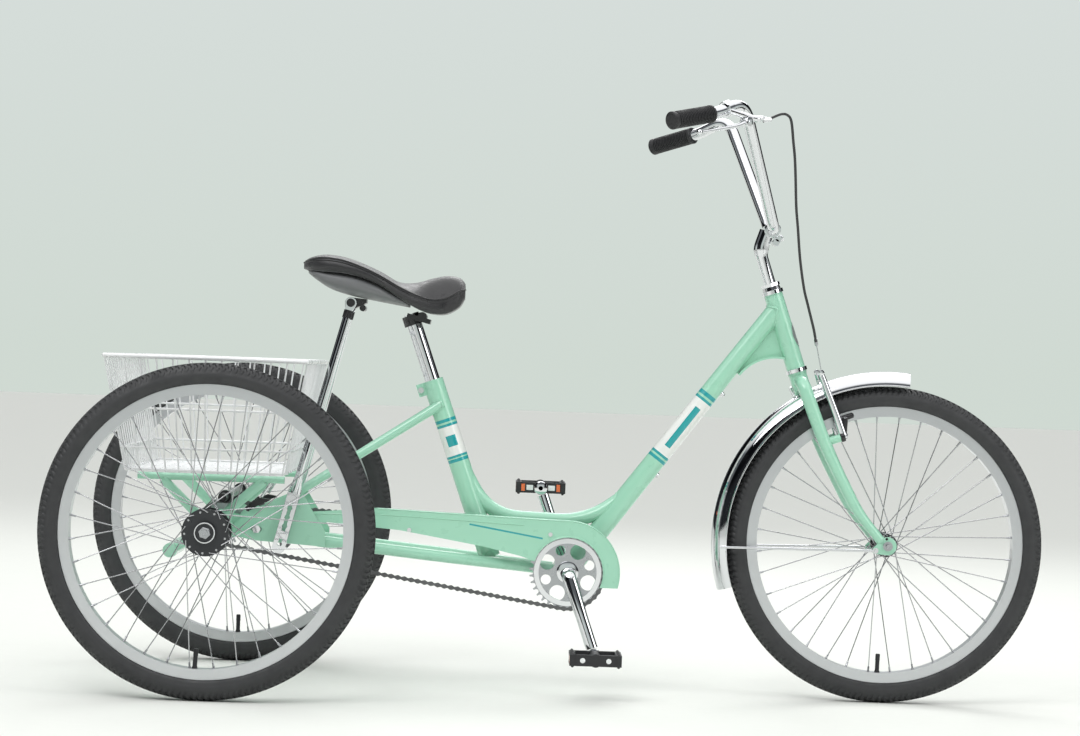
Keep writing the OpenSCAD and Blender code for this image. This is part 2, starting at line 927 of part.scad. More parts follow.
module fork_blades() {
    stud = brake_pivot - [0, brake_y, 0];
    color(paint)
        both_sides() {
            sweep(blade_points, [for (i = [0:len(blade_points) - 1])
                i < 6 ? 13 : 13 - 4 * (i - 5) / (len(blade_points) - 6)], 14, 1.8, [1, 0, 0]);
            dropout();
            rod(stud - 25.6 * brake_dir, stud - 4.4 * brake_dir, 7.5);
        }
    color(chrome)
        both_sides()
            rod(stud - 4.3 * brake_dir, stud + 8 * brake_dir, 3.9);
}

module dropout() {
    eyelet = [602, -52, 291];
    difference() {
        sheet(-55, -50)
            difference() {
                hull() {
                    translate([front_x, wheel_r])
                        circle(r = tab_r);
                    translate([eyelet[0], eyelet[2]])
                        circle(r = 6);
                }
                translate([front_x, wheel_r])
                    circle(r = front_axle_r + fit);
            }
        ycyl([front_x - 2, 0, wheel_r + 13.2], 2.6, -60, -45);
        ycyl(eyelet, 2.6, -60, -45);
    }
}

module headset_locknut() {
    color(chrome)
        difference() {
            union() {
                on_head(head_len + 7.4)
                    cylinder(h = 7, r1 = 17.5, r2 = 16);
                on_head(head_len + 14.4)
                    cylinder(h = 6, r = 18, $fn = 8);
            }
            on_head(head_len + 1)
                cylinder(h = 40, r = steerer_r + 0.01);
        }
}

module stem() {
    neck_low = on_axis(head_len + 86);
    color(chrome)
        difference() {
            union() {
                on_head(70)
                    cylinder(h = head_len + 16, r = quill_r);
                translate(neck_low)
                    sphere(r = quill_r + 1.5);
                rod(neck_low, bar_mid - [1, 0, 2], quill_r + 1.5);
                ycyl(bar_mid, 16, -19, 19);
                translate([bar_mid[0], -12, bar_mid[2]])
                    rotate([0, 62, 0])
                        translate([10, 0, -8])
                            cube([19, 24, 16]);
            }
            ycyl(bar_mid, bar_r + fit, -20, 20);
            translate([bar_mid[0], -13, bar_mid[2]])
                rotate([0, 62, 0])
                    translate([12, 0, -1])
                        cube([20, 26, 2]);
            translate([bar_mid[0], 0, bar_mid[2]])
                rotate([0, 62, 0])
                    translate([22, 0, -20])
                        cylinder(h = 40, r = 3.1);
            on_head(60)
                cylinder(h = head_len + 18, r = 4.2);
        }
}

module stem_bolts() {
    color(chrome) {
        translate([bar_mid[0], 0, bar_mid[2]])
            rotate([0, 62, 0])
                translate([22, 0, -7]) {
                    translate([0, 0, 15.1])
                        cylinder(h = 5, r = 6);
                    cylinder(h = 16, r = 3);
                }
        on_head(52)
            cylinder(h = head_len + 10, r = 4);
        on_head(52)
            cylinder(h = 17.5, r = quill_r - 0.1);
    }
}

bar_half = rounded(concat([bar_mid], bar_points), [22, 36, 14], 5);
bar_path = concat([for (i = [len(bar_half) - 1:-1:1]) bar_half[i]],
    [for (i = [1:len(bar_half) - 1]) flip(bar_half[i])]);

module handlebar() {
    color(chrome)
        sweep(bar_path, bar_r, 14, 1.8, [0, 0, 1]);
}

module grips() {
    color(black)
        both_sides()
            difference() {
                rod(grip_start, grip_end, grip_r);
                rod(grip_start - grip_dir, grip_end - 4.9 * grip_dir, bar_r + fit);
            }
}

module brake_lever_body() {
    bar_dir = unit(bar_points[2] - bar_points[1]);
    clamp_mid = bar_points[2] - 30 * bar_dir;
    color(chrome) {
        difference() {
            union() {
                rod(clamp_mid - 8 * bar_dir, clamp_mid + 8 * bar_dir, 15);
                sweep([clamp_mid + [2, -3, -4], [338, -208, 1081], [352, -204, 1079]],
                    [9, 8, 5], 12);
                rod(lever_pivot - 8.6 * lever_axis, lever_pivot + 8.6 * lever_axis, 9);
            }
            rod(clamp_mid - 20 * bar_dir, clamp_mid + 20 * bar_dir, bar_r + fit);
            rod(lever_pivot - 5.6 * lever_axis, lever_pivot + 5.6 * lever_axis, 10.5);
        }
        rod(lever_pivot - 10.5 * lever_axis, lever_pivot + 10.5 * lever_axis, 2.5);
    }
}

module brake_lever_blade() {
    tip = lever_pivot + lever_len * unit([-0.736, -0.634, -0.235]);
    color(chrome)
        difference() {
            union() {
                rod(lever_pivot - 5.2 * lever_axis, lever_pivot + 5.2 * lever_axis, 8.5);
                rod(lever_pivot, tip, 5, 4.5);
                translate(tip)
                    sphere(r = 6);
            }
            rod(lever_pivot - 20 * lever_axis, lever_pivot + 20 * lever_axis, 2.55);
        }
}

module brake_cable() {
    color(black)
        sweep(cable_points, 2.5, 8, 0, [0, 1, 0]);
    color(chrome)
        sweep(wire_points, 1.1, 8, 0, [1, 0, 0]);
    color(chrome)
        ycyl([490, 0, 622], 0.8, -34, 58);
}

module front_fender() {
    centre_r = fender_r - fender_half_w;
    color(chrome)
        around([front_x, 0, wheel_r], fender_from, fender_to - fender_from)
            difference() {
                translate([centre_r, 0])
                    circle(r = fender_half_w);
                translate([centre_r, 0])
                    circle(r = fender_half_w - 1.2);
                translate([0, -50])
                    square([wheel_r + 2, 100]);
            }
}

module fender_stays() {
    color(chrome) {
        both_sides() {
            rod([312, -32.8, 286], [598, -58, 290.6], 2.6);
            difference() {
                ycyl([602, 0, 291], 5.5, -58.6, -55.3);
                ycyl([602, 0, 291], 2.6, -60, -50);
            }
            ycyl([602, 0, 291], 2.5, -61, -49);
        }
        rod(on_axis(-36) + [-18.2, 0, -2], [436, 0, 590], 3);
        rod([436, 0, 590], [443, 0, 575.5], 3);
    }
}

module front_axle() {
    c = [front_x, 0, wheel_r];
    color(silver) {
        ycyl(c, front_axle_r, -60, 60);
        ycyl(c, front_end_r, -68, 68);
        both_sides() {
            difference() {
                ycyl(c, 9, -59.9, -55.1);
                ycyl(c, front_axle_r + 0.01, -70, -50);
            }
            difference() {
                ycyl(c, 8, -49.9, -37.5);
                ycyl(c, front_axle_r + 0.01, -70, -30);
            }
        }
    }
}

// The lower parts of both brake arms are alike: arm, pad post and pad
module brake_arm() {
    pivot = brake_pivot - [0, brake_y, 0];
    top = [490, -38, 619];
    pad = polar([front_x, 0, wheel_r], 253, 110.3);
    along = [-sin(110.3), 0, cos(110.3)];
    color(silver)
        difference() {
            union() {
                rod(pivot - 4 * brake_dir, pivot + 4 * brake_dir, 9);
                rod(pivot + [0, 2, 0] + 2 * brake_dir, top, 5.7, 5);
                ycyl(pad, 3, -45, -24);
                rod(pivot + [0, 1.5, 0] + 2 * brake_dir, pad - [0, 44, 0], 5.7);
            }
            rod(pivot - 15 * brake_dir, pivot + 15 * brake_dir, 3.95);
            ycyl(top + [0, 0, 3], 1.9, -60, -20);
        }
    color(black)
        rod([pad[0], -20.3, pad[2]] - 20 * along, [pad[0], -20.3, pad[2]] + 20 * along, 4);
}

// ---------- wheels ----------
module tyre(c) {
    bead_out = rim_half_w - rim_wall - 0.5;
    color(black) {
        around(c)
            difference() {
                union() {
                    difference() {
                        translate([tyre_mid_r, 0])
                            circle(r = tyre_w / 2);
                        translate([0, -40])
                            square([rim_r + 0.7, 80]);
                    }
                    translate([rim_r - 8.8, -bead_out])
                        square([14, 2 * bead_out]);
                }
                intersection() {
                    translate([tyre_mid_r, 0])
                        circle(r = tyre_w / 2 - casing_t);
                    translate([rim_r + 3, -40])
                        square([80, 80]);
                }
                translate([rim_r - 10, -bead_out + 3])
                    square([13.1, 2 * bead_out - 6]);
            }
        around(c)
            translate([tyre_mid_r + 4, 0])
                difference() {
                    circle(r = tube_r);
                    circle(r = tube_r - 1.2);
                }
    }
}

module rim(c, valve_angle) {
    valve = valve_angle;
    color(silver)
        around(c)
            difference() {
                translate([rim_r - rim_depth, -rim_half_w])
                    square([rim_depth, 2 * rim_half_w]);
                translate([rim_r - rim_depth + 8.9, -rim_half_w + rim_wall])
                    square([rim_depth, 2 * (rim_half_w - rim_wall)]);
                translate([rim_r - rim_depth + 1.5, -rim_half_w + 1.5])
                    square([5.5, 2 * rim_half_w - 3]);
            }
    color(black)
        rod(polar(c, rim_r - rim_depth - 0.1, valve), polar(c, rim_r - rim_depth - 34, valve), 3.4);
}

// Crossed spokes: each pair of sets leaves the flanges at opposite slants.
// Each spoke has an elbow that passes through its hole and ends in a head.
module spokes(c, hole_r, flange_y) {
    per_set = spoke_count / 4;
    step = 360 / per_set;
    rim_end = rim_r - rim_depth - 0.6;
    color(silver)
        for (side = [-1, 1])
            for (lead = [0, 1])
                for (k = [0:per_set - 1]) {
                    hub_a = spoke_turn + k * step + lead * step / 2 + (side > 0 ? step / 4 : 0);
                    rim_a = hub_a + (lead == 0 ? 60 : -60);
                    way = lead == 0 ? 1 : -1;
                    off = lead == 0 ? spoke_out : spoke_in;
                    hole = polar(c, hole_r, hub_a) + [0, side * flange_y, 0];
                    rod(hole + [0, side * way * off, 0],
                        polar(c, rim_end, rim_a) + [0, side * 3, 0], spoke_r);
                    rod(hole + [0, side * way * (off + 0.9), 0],
                        hole - [0, side * way * 2.2, 0], spoke_r);
                    rod(hole - [0, side * way * 2, 0], hole - [0, side * way * 3, 0], 2);
                }
}

function hole_angle(k, way) = spoke_turn + (k + (way > 0 ? 0.5 : 0)) * 720 / spoke_count;

module hub(c, bore, flange_r, flange_y, hole_r, barrel_r, cap_r) {
    half = 36;
    color(black)
        difference() {
            union() {
                ycyl(c, barrel_r, c[1] - flange_y, c[1] + flange_y);
                for (way = [-1, 1])
                    ycyl(c, flange_r, c[1] + way * flange_y - 1.6, c[1] + way * flange_y + 1.6);
                ycyl(c, cap_r, c[1] - half, c[1] + half);
            }
            ycyl(c, bore, c[1] - half - 1, c[1] + half + 1);
            for (way = [-1, 1])
                for (k = [0:spoke_count / 2 - 1])
                    ycyl(polar(c, hole_r, hole_angle(k, way)), spoke_hole_r,
                        c[1] + way * flange_y - 1.7, c[1] + way * flange_y + 1.7);
        }
}

front_c = [front_x, 0, wheel_r];
left_c = [rear_x, half_track, wheel_r];
right_c = [rear_x, -half_track, wheel_r];

module front_hub() {
    hub(front_c, front_axle_r + fit, front_flange_r, front_flange_y, front_hole_r, 12, 9);
}

module rear_hub(c, gap) {
    hub(c, axle_r + gap, rear_flange_r, rear_flange_y, rear_hole_r, 24, 18);
}

module rear_axle() {
    color(silver) {
        ycyl(axle_c, axle_r, -axle_half + axle_end, axle_half - axle_end);
        ycyl(axle_c, axle_end_r, -axle_half, axle_half);
    }
}

// ---------- saddle ----------
module seat_post() {
    color(chrome)
        rod(seat_top - 150 * seat_dir, seat_top + 132 * seat_dir, post_r);
}

// Saddle sections: place along X, top edge, lower edge and half width
saddle_rows = [[-490, 799, 780, 62], [-476, 806, 777, 88], [-450, 811, 776, 104],
    [-415, 807, 774, 112], [-380, 796, 767, 112], [-345, 781, 754, 104],
    [-312, 764, 734, 88], [-280, 765, 716, 72], [-250, 773, 706, 62],
    [-222, 779, 706, 56], [-198, 776, 721, 46], [-186, 764, 742, 28]];

// A saddle cross-section with rounded sides, 16 points
function saddle_ring(row) = [for (j = [0:15]) let(a = 360 * j / 16, c = cos(a), s = sin(a))
    [row[0], row[3] * sign(c) * pow(abs(c), 0.55),
        (row[1] + row[2]) / 2 + (row[1] - row[2]) / 2 * sign(s) * pow(abs(s), 0.6)]];

module saddle_cushion() {
    k = 16;
    m = len(saddle_rows);
    points = [for (row = saddle_rows) each saddle_ring(row)];
    skin = [for (i = [0:m - 2]) each strip(i * k, (i + 1) * k, k)];
    color(black)
        polyhedron(points, concat(skin, [[for (j = [0:k - 1]) j],
            [for (j = [k - 1:-1:0]) (m - 1) * k + j]]), convexity = 6);
}

// The stiff pan under the cushion: place along X, top, lower edge, half width
pan_rows = [[-482, 776, 770, 70], [-464, 775, 760, 86], [-440, 774.5, 748, 96],
    [-410, 772, 738, 100], [-380, 765, 731, 98], [-350, 754, 726, 88],
    [-325, 739, 722, 74], [-305, 726, 720, 60]];

module saddle_pan() {
    k = 16;
    m = len(pan_rows);
    points = [for (row = pan_rows) each saddle_ring(row)];
    skin = [for (i = [0:m - 2]) each strip(i * k, (i + 1) * k, k)];
    color(silver)
        polyhedron(points, concat(skin, [[for (j = [0:k - 1]) j],
            [for (j = [k - 1:-1:0]) (m - 1) * k + j]]), convexity = 6);
}

// The clamp on the post, and the yoke that holds the heads of the struts
module saddle_base() {
    color(black) {
        difference() {
            union() {
                rod(seat_top + 110 * seat_dir, seat_top + 129 * seat_dir, post_r + 5);
                translate([-296, -30, 697])
                    rotate([0, 14, 0])
                        cube([46, 60, 9]);
                ycyl([-266, 0, 699.5], 9, -32, 32);
            }
            rod(seat_top + 100 * seat_dir, seat_top + 200 * seat_dir, post_r + 0.03);
        }
        sheet(-24, 24)
            polygon([[-409, 713], [-394, 711], [-372, 722], [-372, 729], [-404, 732]]);
        ycyl(strut_head, pivot_r, -42, 42);
        both_sides()
            ycyl(strut_head, 8, -44, -38);
        ycyl([-379, 0, 712], 6, -27, 27);
    }
}

// ---------- rear struts ----------
// A clamp bolt with its spacer and head, s along the strut from the lower bolt
module clamp_bolt(s) {
    c = strut_foot + s * unit(strut_run);
    ycyl(c, 3, -88, -64.2);
    ycyl(c, m8_r - 0.05, -69, -64.2);
    ycyl(c, 7, -76.9, -69.3);
    ycyl(c, 8, -88, -83.2);
}

module strut_bolts() {
    color(chrome)
        both_sides() {
            clamp_bolt(0);
            clamp_bolt(second_bolt);
        }
}

module rear_struts() {
    along = unit(strut_run);
    low = strut_foot - [0, strut_y_low, 0];
    bend = low + strut_straight * along;
    head = strut_head - [0, strut_y_top + 2, 0];
    neck = lerp(bend, head, 0.945);
    color(chrome)
        both_sides() {
            translate(low)
                rotate([0, strut_tilt, 0])
                    sheet(-strut_flat_t / 2, strut_flat_t / 2)
                        strap_outline();
            sweep(rounded([low + 84 * along, bend, neck], [24], 4), strut_r, 16);
            strut_eye(neck);
        }
}

// The flattened foot of a strut. Its scalloped slot has round places for the
// bolts, joined by a narrower way.
module strap_outline() {
    w = strut_flat_w / 2;
    difference() {
        polygon([[-w, 88], [w, 88], [w, -27], [w - 5, -36], [5 - w, -36], [-w, -27]]);
        for (k = [-1:4])
            translate([0, k * hole_pitch])
                circle(r = 4.6);
        translate([-3.5, -hole_pitch])
            square([7, 5 * hole_pitch + 11.5]);
    }
}

module strut_eye(neck) {
    y = -strut_y_top;
    difference() {
        hull() {
            ycyl(strut_head, 11, y - 5, y + 1);
            translate([neck[0] - 6, y - 5, neck[2] - 2])
                cube([12, 6, 4]);
        }
        ycyl(strut_head, pivot_r + pivot_clear, y - 10, y + 10);
    }
}

head_tube();
down_tube();
curved_tube();
seat_tube();
head_gusset();
bottom_bracket_shell();
chainstays();
seat_stays();
axle_plates();
axle_housings();
frame_bearings();
frame_bolts();
basket_struts();
rear_cross_tube();
brace_bar();
basket_rim();
basket_wires();
chainguard();
bearing_cups();
chain();
steerer_tube();
fork_crown();
fork_blades();
headset_locknut();
stem();
stem_bolts();
handlebar();
grips();
brake_lever_body();
brake_cable();
front_fender();
fender_stays();
front_axle();
tyre(front_c);  // front_tyre
rim(front_c, -91);  // front_rim
spokes(front_c, front_hole_r, front_flange_y);  // front_spokes
front_hub();
rear_axle();
rear_sprocket();
tyre(left_c);  // left_tyre
rim(left_c, -90);  // left_rim
spokes(left_c, rear_hole_r, rear_flange_y);  // left_spokes
rear_hub(left_c, 0.02);  // left_hub
tyre(right_c);  // right_tyre
rim(right_c, -93);  // right_rim
spokes(right_c, rear_hole_r, rear_flange_y);  // right_spokes
rear_hub(right_c, fit);  // right_hub
crank_arms();
chainring();
pedal(bb + crank_len * crank_dir, -1);  // pedal_right
pedal(bb - crank_len * crank_dir, 1);  // pedal_left
brake_lever_blade();
brake_arm();  // brake_arm_right
mirror([0, 1, 0]) brake_arm();  // brake_arm_left
seat_post();
saddle_cushion();
saddle_pan();
saddle_base();
strut_bolts();
rear_struts();
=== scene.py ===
"""Looks of the adult tricycle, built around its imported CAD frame.

Shapes are written in millimetres in the row's frame and scaled once, in piece().
"""
import json
import math

import bmesh
import bpy
from mathutils import Matrix, Vector


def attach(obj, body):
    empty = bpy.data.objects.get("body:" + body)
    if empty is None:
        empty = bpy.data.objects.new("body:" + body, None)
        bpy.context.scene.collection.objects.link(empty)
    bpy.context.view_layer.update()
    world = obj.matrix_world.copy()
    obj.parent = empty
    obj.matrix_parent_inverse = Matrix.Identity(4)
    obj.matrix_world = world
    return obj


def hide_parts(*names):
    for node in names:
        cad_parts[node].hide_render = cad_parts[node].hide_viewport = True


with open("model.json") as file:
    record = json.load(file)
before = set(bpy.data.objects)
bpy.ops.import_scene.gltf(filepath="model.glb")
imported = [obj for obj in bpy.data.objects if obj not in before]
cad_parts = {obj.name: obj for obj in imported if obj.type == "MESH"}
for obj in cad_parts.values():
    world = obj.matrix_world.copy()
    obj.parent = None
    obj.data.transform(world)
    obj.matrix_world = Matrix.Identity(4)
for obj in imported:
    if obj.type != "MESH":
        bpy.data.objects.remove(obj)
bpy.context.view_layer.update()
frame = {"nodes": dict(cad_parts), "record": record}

MM = 0.001
BODY_OF = {node: body for body, nodes in frame["record"]["behaviour"]["bodies"].items()
           for node in nodes}

# ---------- sizes that repeat part.scad ----------
WHEEL_R = 300
TYRE_R = 23.5
RIM_R = 262
TYRE_MID = RIM_R + 14.5
RIM_INNER_R = 243
REAR_X, FRONT_X, HALF_TRACK = -625, 625, 335
HEAD_LOW = Vector((445.5, 0, 628))
HEAD_LEAN = math.radians(19.1)
HEAD_DIR = Vector((-math.sin(HEAD_LEAN), 0, math.cos(HEAD_LEAN)))
HEAD_ACROSS = Vector((math.cos(HEAD_LEAN), 0, math.sin(HEAD_LEAN)))
HEAD_LEN = 148
BB = Vector((25, 0, 229))
DOWN_TOP = Vector((406, 0, 741))
SEAT_LEAN = math.radians(20)
SEAT_DIR = Vector((-math.sin(SEAT_LEAN), 0, math.cos(SEAT_LEAN)))
SEAT_TOP = Vector((-243, 0, 581))
STRUT_FOOT = Vector((-511, 0, 283))
STRUT_HEAD = Vector((-401, 0, 721))
STRUT_HOLE_PITCH = 17.25
CURVED_R = 13.5
CURVED_LOW = Vector((58, 0, 322))
CURVED_HIGH = Vector((150, 0, 390))
FORK_TIP = Vector((611.2, -50, 310.3))
LOWER_EYELET = (602, 291)
UPPER_EYELET = (FRONT_X - 2, WHEEL_R + 13.2)
BRAKE_PIVOT = Vector((534, -46, 502))
BRAKE_TOP = Vector((490, -38, 619))
CRANK_LEAN = math.radians(19.8)
CRANK_DIR = Vector((math.sin(CRANK_LEAN), 0, -math.cos(CRANK_LEAN)))
CRANK_LEN = 160
BAR_MID = Vector((390, 0, 889))
BAR_CORNERS = [(390, -44, 889), (314, -182, 1112), (260, -232, 1086), (177, -305, 1063)]
LEVER_PIVOT = Vector((316, -219, 1073))
WHEELS = {"front": Vector((FRONT_X, 0, WHEEL_R)), "left": Vector((REAR_X, HALF_TRACK, WHEEL_R)),
          "right": Vector((REAR_X, -HALF_TRACK, WHEEL_R))}


def add_object(name, data):
    thing = bpy.data.objects.new(name, data)
    bpy.context.scene.collection.objects.link(thing)
    return thing


# ---------- points and paths ----------
def polar(centre, radius, degrees, y=None):
    a = math.radians(degrees)
    return Vector((centre[0] + radius * math.cos(a), centre[1] if y is None else y,
                   centre[2] + radius * math.sin(a)))


def flip(p):
    return Vector((p[0], -p[1], p[2]))


def on_head(s):
    return HEAD_LOW + s * HEAD_DIR


def rounded(points, reach, steps=8):
    """A polyline whose inner corners are curves starting reach[i] away from them."""
    pts = [Vector(p) for p in points]
    out = [pts[0]]
    for p, c, q, d in zip(pts, pts[1:], pts[2:], reach):
        a = c + (p - c).normalized() * d
        b = c + (q - c).normalized() * d
        for i in range(steps + 1):
            t = i / steps
            out.append((1 - t) ** 2 * a + 2 * t * (1 - t) * c + t * t * b)
    return out + [pts[-1]]


def blend(a, b, c, d, t):
    """A value at t between b and c, on a smooth curve through all four."""
    return 0.5 * (2 * b + (c - a) * t + (2 * a - 5 * b + 4 * c - d) * t * t
                  + (3 * b - a - 3 * c + d) * t ** 3)


def spline(points, steps=6):
    """A smooth path through every point."""
    pts = [Vector(p) for p in points]
    ends = [2 * pts[0] - pts[1]] + pts + [2 * pts[-1] - pts[-2]]
    out = []
    for a, b, c, d in zip(ends, ends[1:], ends[2:], ends[3:]):
        out += [blend(a, b, c, d, i / steps) for i in range(steps)]
    return out + [pts[-1]]


def arc(centre, radius, start, end, steps, y=None):
    return [polar(centre, radius, start + (end - start) * i / steps, y) for i in range(steps + 1)]


# ---------- shapes: each is a list of points and a list of faces ----------
def grid_faces(rows, columns, closed_rows=False):
    faces = []
    for i in range(rows if closed_rows else rows - 1):
        for j in range(columns):
            a, b = i * columns, ((i + 1) % rows) * columns
            k = (j + 1) % columns
            faces.append((a + j, a + k, b + k, b + j))
    return faces


def sweep(path, radius, sides=16, side=(0, 1, 0), flat=1.0, closed=False):
    """A round bar along a path. flat is its thickness across side, as a share of its width."""
    path = [Vector(p) for p in path]
    n = len(path)
    radii = list(radius) if isinstance(radius, (list, tuple)) else [radius] * n
    if len(radii) != n:
        radii = [radii[min(int(i * len(radii) / n), len(radii) - 1)] for i in range(n)]
    points = []
    across = Vector(side)
    for i, p in enumerate(path):
        ahead = path[(i + 1) % n] if closed or i < n - 1 else p
        behind = path[i - 1] if closed or i > 0 else p
        along = (ahead - behind).normalized()
        across = (across - across.dot(along) * along).normalized()
        other = along.cross(across) * flat
        for j in range(sides):
            a = math.tau * j / sides
            points.append(p + radii[i] * (math.cos(a) * across + math.sin(a) * other))
    faces = grid_faces(n, sides, closed)
    if not closed:
        faces += [tuple(range(sides)), tuple((n - 1) * sides + j for j in range(sides))]
    return points, faces


def turned(start, axis, profile, sides=40):
    """A lathe shape: profile holds (distance along the axis, radius) pairs."""
    start, axis = Vector(start), Vector(axis).normalized()
    across = axis.orthogonal().normalized()
    other = axis.cross(across)
    points = []
    for s, r in profile:
        for j in range(sides):
            a = math.tau * j / sides
            points.append(start + s * axis + r * (math.cos(a) * across + math.sin(a) * other))
    faces = grid_faces(len(profile), sides)
    last = (len(profile) - 1) * sides
    return points, faces + [tuple(range(sides)), tuple(last + j for j in range(sides))]


def barrel(start, end, radius, edge=0.8, sides=40):
    """A plain round bar with softened ends."""
    start, end = Vector(start), Vector(end)
    length = (end - start).length
    return turned(start, end - start, [(0, radius - edge), (edge * 0.3, radius - edge * 0.3),
                                       (edge, radius), (length - edge, radius),
                                       (length - edge * 0.3, radius - edge * 0.3),
                                       (length, radius - edge)], sides)


def hoop(start, axis, profile, sides=64):
    """A ring: profile is a closed loop of (distance along the axis, radius) pairs."""
    points, _ = turned(start, axis, profile, sides)
    return points, grid_faces(len(profile), sides, True)


def circle(x, z, r, sides=32):
    return [(x + r * math.cos(math.tau * i / sides), z + r * math.sin(math.tau * i / sides))
            for i in range(sides)]


def plate(outline, y0, y1, holes=(), edge=0.6):
    """A flat plate drawn in X and Z, with holes and softened edges."""
    curve = bpy.data.curves.new("outline", "CURVE")
    curve.dimensions = "2D"
    curve.fill_mode = "BOTH"
    curve.extrude = (y1 - y0) / 2 - edge
    curve.bevel_depth = edge
    curve.bevel_resolution = 1
    curve.offset = -edge
    for loop in [outline, *holes]:
        line = curve.splines.new("POLY")
        line.points.add(len(loop) - 1)
        for point, (x, z) in zip(line.points, loop):
            point.co = (x, z, 0, 1)
        line.use_cyclic_u = True
    thing = add_object("outline", curve)
    mesh = bpy.data.meshes.new_from_object(thing)
    middle = (y0 + y1) / 2
    points = [Vector((v.co.x, middle - v.co.z, v.co.y)) for v in mesh.vertices]
    faces = [tuple(p.vertices) for p in mesh.polygons]
    bpy.data.objects.remove(thing)
    bpy.data.curves.remove(curve)
    bpy.data.meshes.remove(mesh)
    return points, faces


def block(centre, size, edge=0.8):
    """A box with softened edges."""
    c, (w, d, h) = Vector(centre), size
    outline = [(-w / 2, -h / 2), (w / 2, -h / 2), (w / 2, h / 2), (-w / 2, h / 2)]
    points, faces = plate(outline, -d / 2, d / 2, edge=edge)
    return [p + c for p in points], faces


def mirrored(shape):
    points, faces = shape
    return [flip(p) for p in points], [tuple(reversed(f)) for f in faces]


def both(*shapes):
    return [*shapes, *[mirrored(s) for s in shapes]]


def hull_outline(circles, steps=24):
    """The outline around several circles (x, z, r), as by a tight band."""
    out = []
    for i in range(steps * 2):
        a = math.tau * i / (steps * 2)
        d = (math.cos(a), math.sin(a))
        x, z, r = max(circles, key=lambda c: c[0] * d[0] + c[1] * d[1] + c[2])
        out.append((x + r * d[0], z + r * d[1]))
    return out


def seam(a, b, tube_r, c, d, other_r, bead=1.7, steps=40):
    """A weld bead where the tube from a to b runs into the tube from c to d."""
    a, b, c, d = Vector(a), Vector(b), Vector(c), Vector(d)
    along, axis = (b - a).normalized(), (d - c).normalized()
    across = along.orthogonal().normalized()
    path = []
    for i in range(steps):
        turn = math.tau * i / steps
        rim = tube_r * (math.cos(turn) * across + math.sin(turn) * along.cross(across))
        w = a + rim - c
        u = along - along.dot(axis) * axis
        w = w - w.dot(axis) * axis
        root = max((u.dot(w)) ** 2 - u.dot(u) * (w.dot(w) - other_r ** 2), 0)
        path.append(a + rim + along * ((-u.dot(w) - math.sqrt(root)) / u.dot(u)))
    return sweep(path, bead, 8, along, closed=True)


# ---------- pieces ----------
def piece(name, look, shapes, replaces=(), rides=None, sharp=35):
    """One Blender object from shapes in millimetres, riding on its CAD node's body."""
    points, faces = [], []
    for shape_points, shape_faces in shapes:
        base = len(points)
        points += [Vector(p) * MM for p in shape_points]
        faces += [tuple(base + i for i in f) for f in shape_faces]
    mesh = bpy.data.meshes.new(name)
    mesh.from_pydata(points, [], faces)
    thing = add_object(name, mesh)
    tidy_normals(mesh)
    mesh.shade_smooth()
    mesh.set_sharp_from_angle(angle=math.radians(sharp))
    mesh.materials.append(look)
    nodes = [replaces] if isinstance(replaces, str) else list(replaces)
    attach(thing, BODY_OF[rides or nodes[0]])
    if nodes:
        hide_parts(*nodes)
    return thing


def tidy_normals(mesh):
    """Turn every face outwards."""
    work = bmesh.new()
    work.from_mesh(mesh)
    bmesh.ops.recalc_face_normals(work, faces=work.faces)
    work.to_mesh(mesh)
    work.free()


# ---------- materials ----------
# Sockets of a colour Mix node: both colours in, one colour out
MIX_A, MIX_B, MIX_OUT = 6, 7, 2


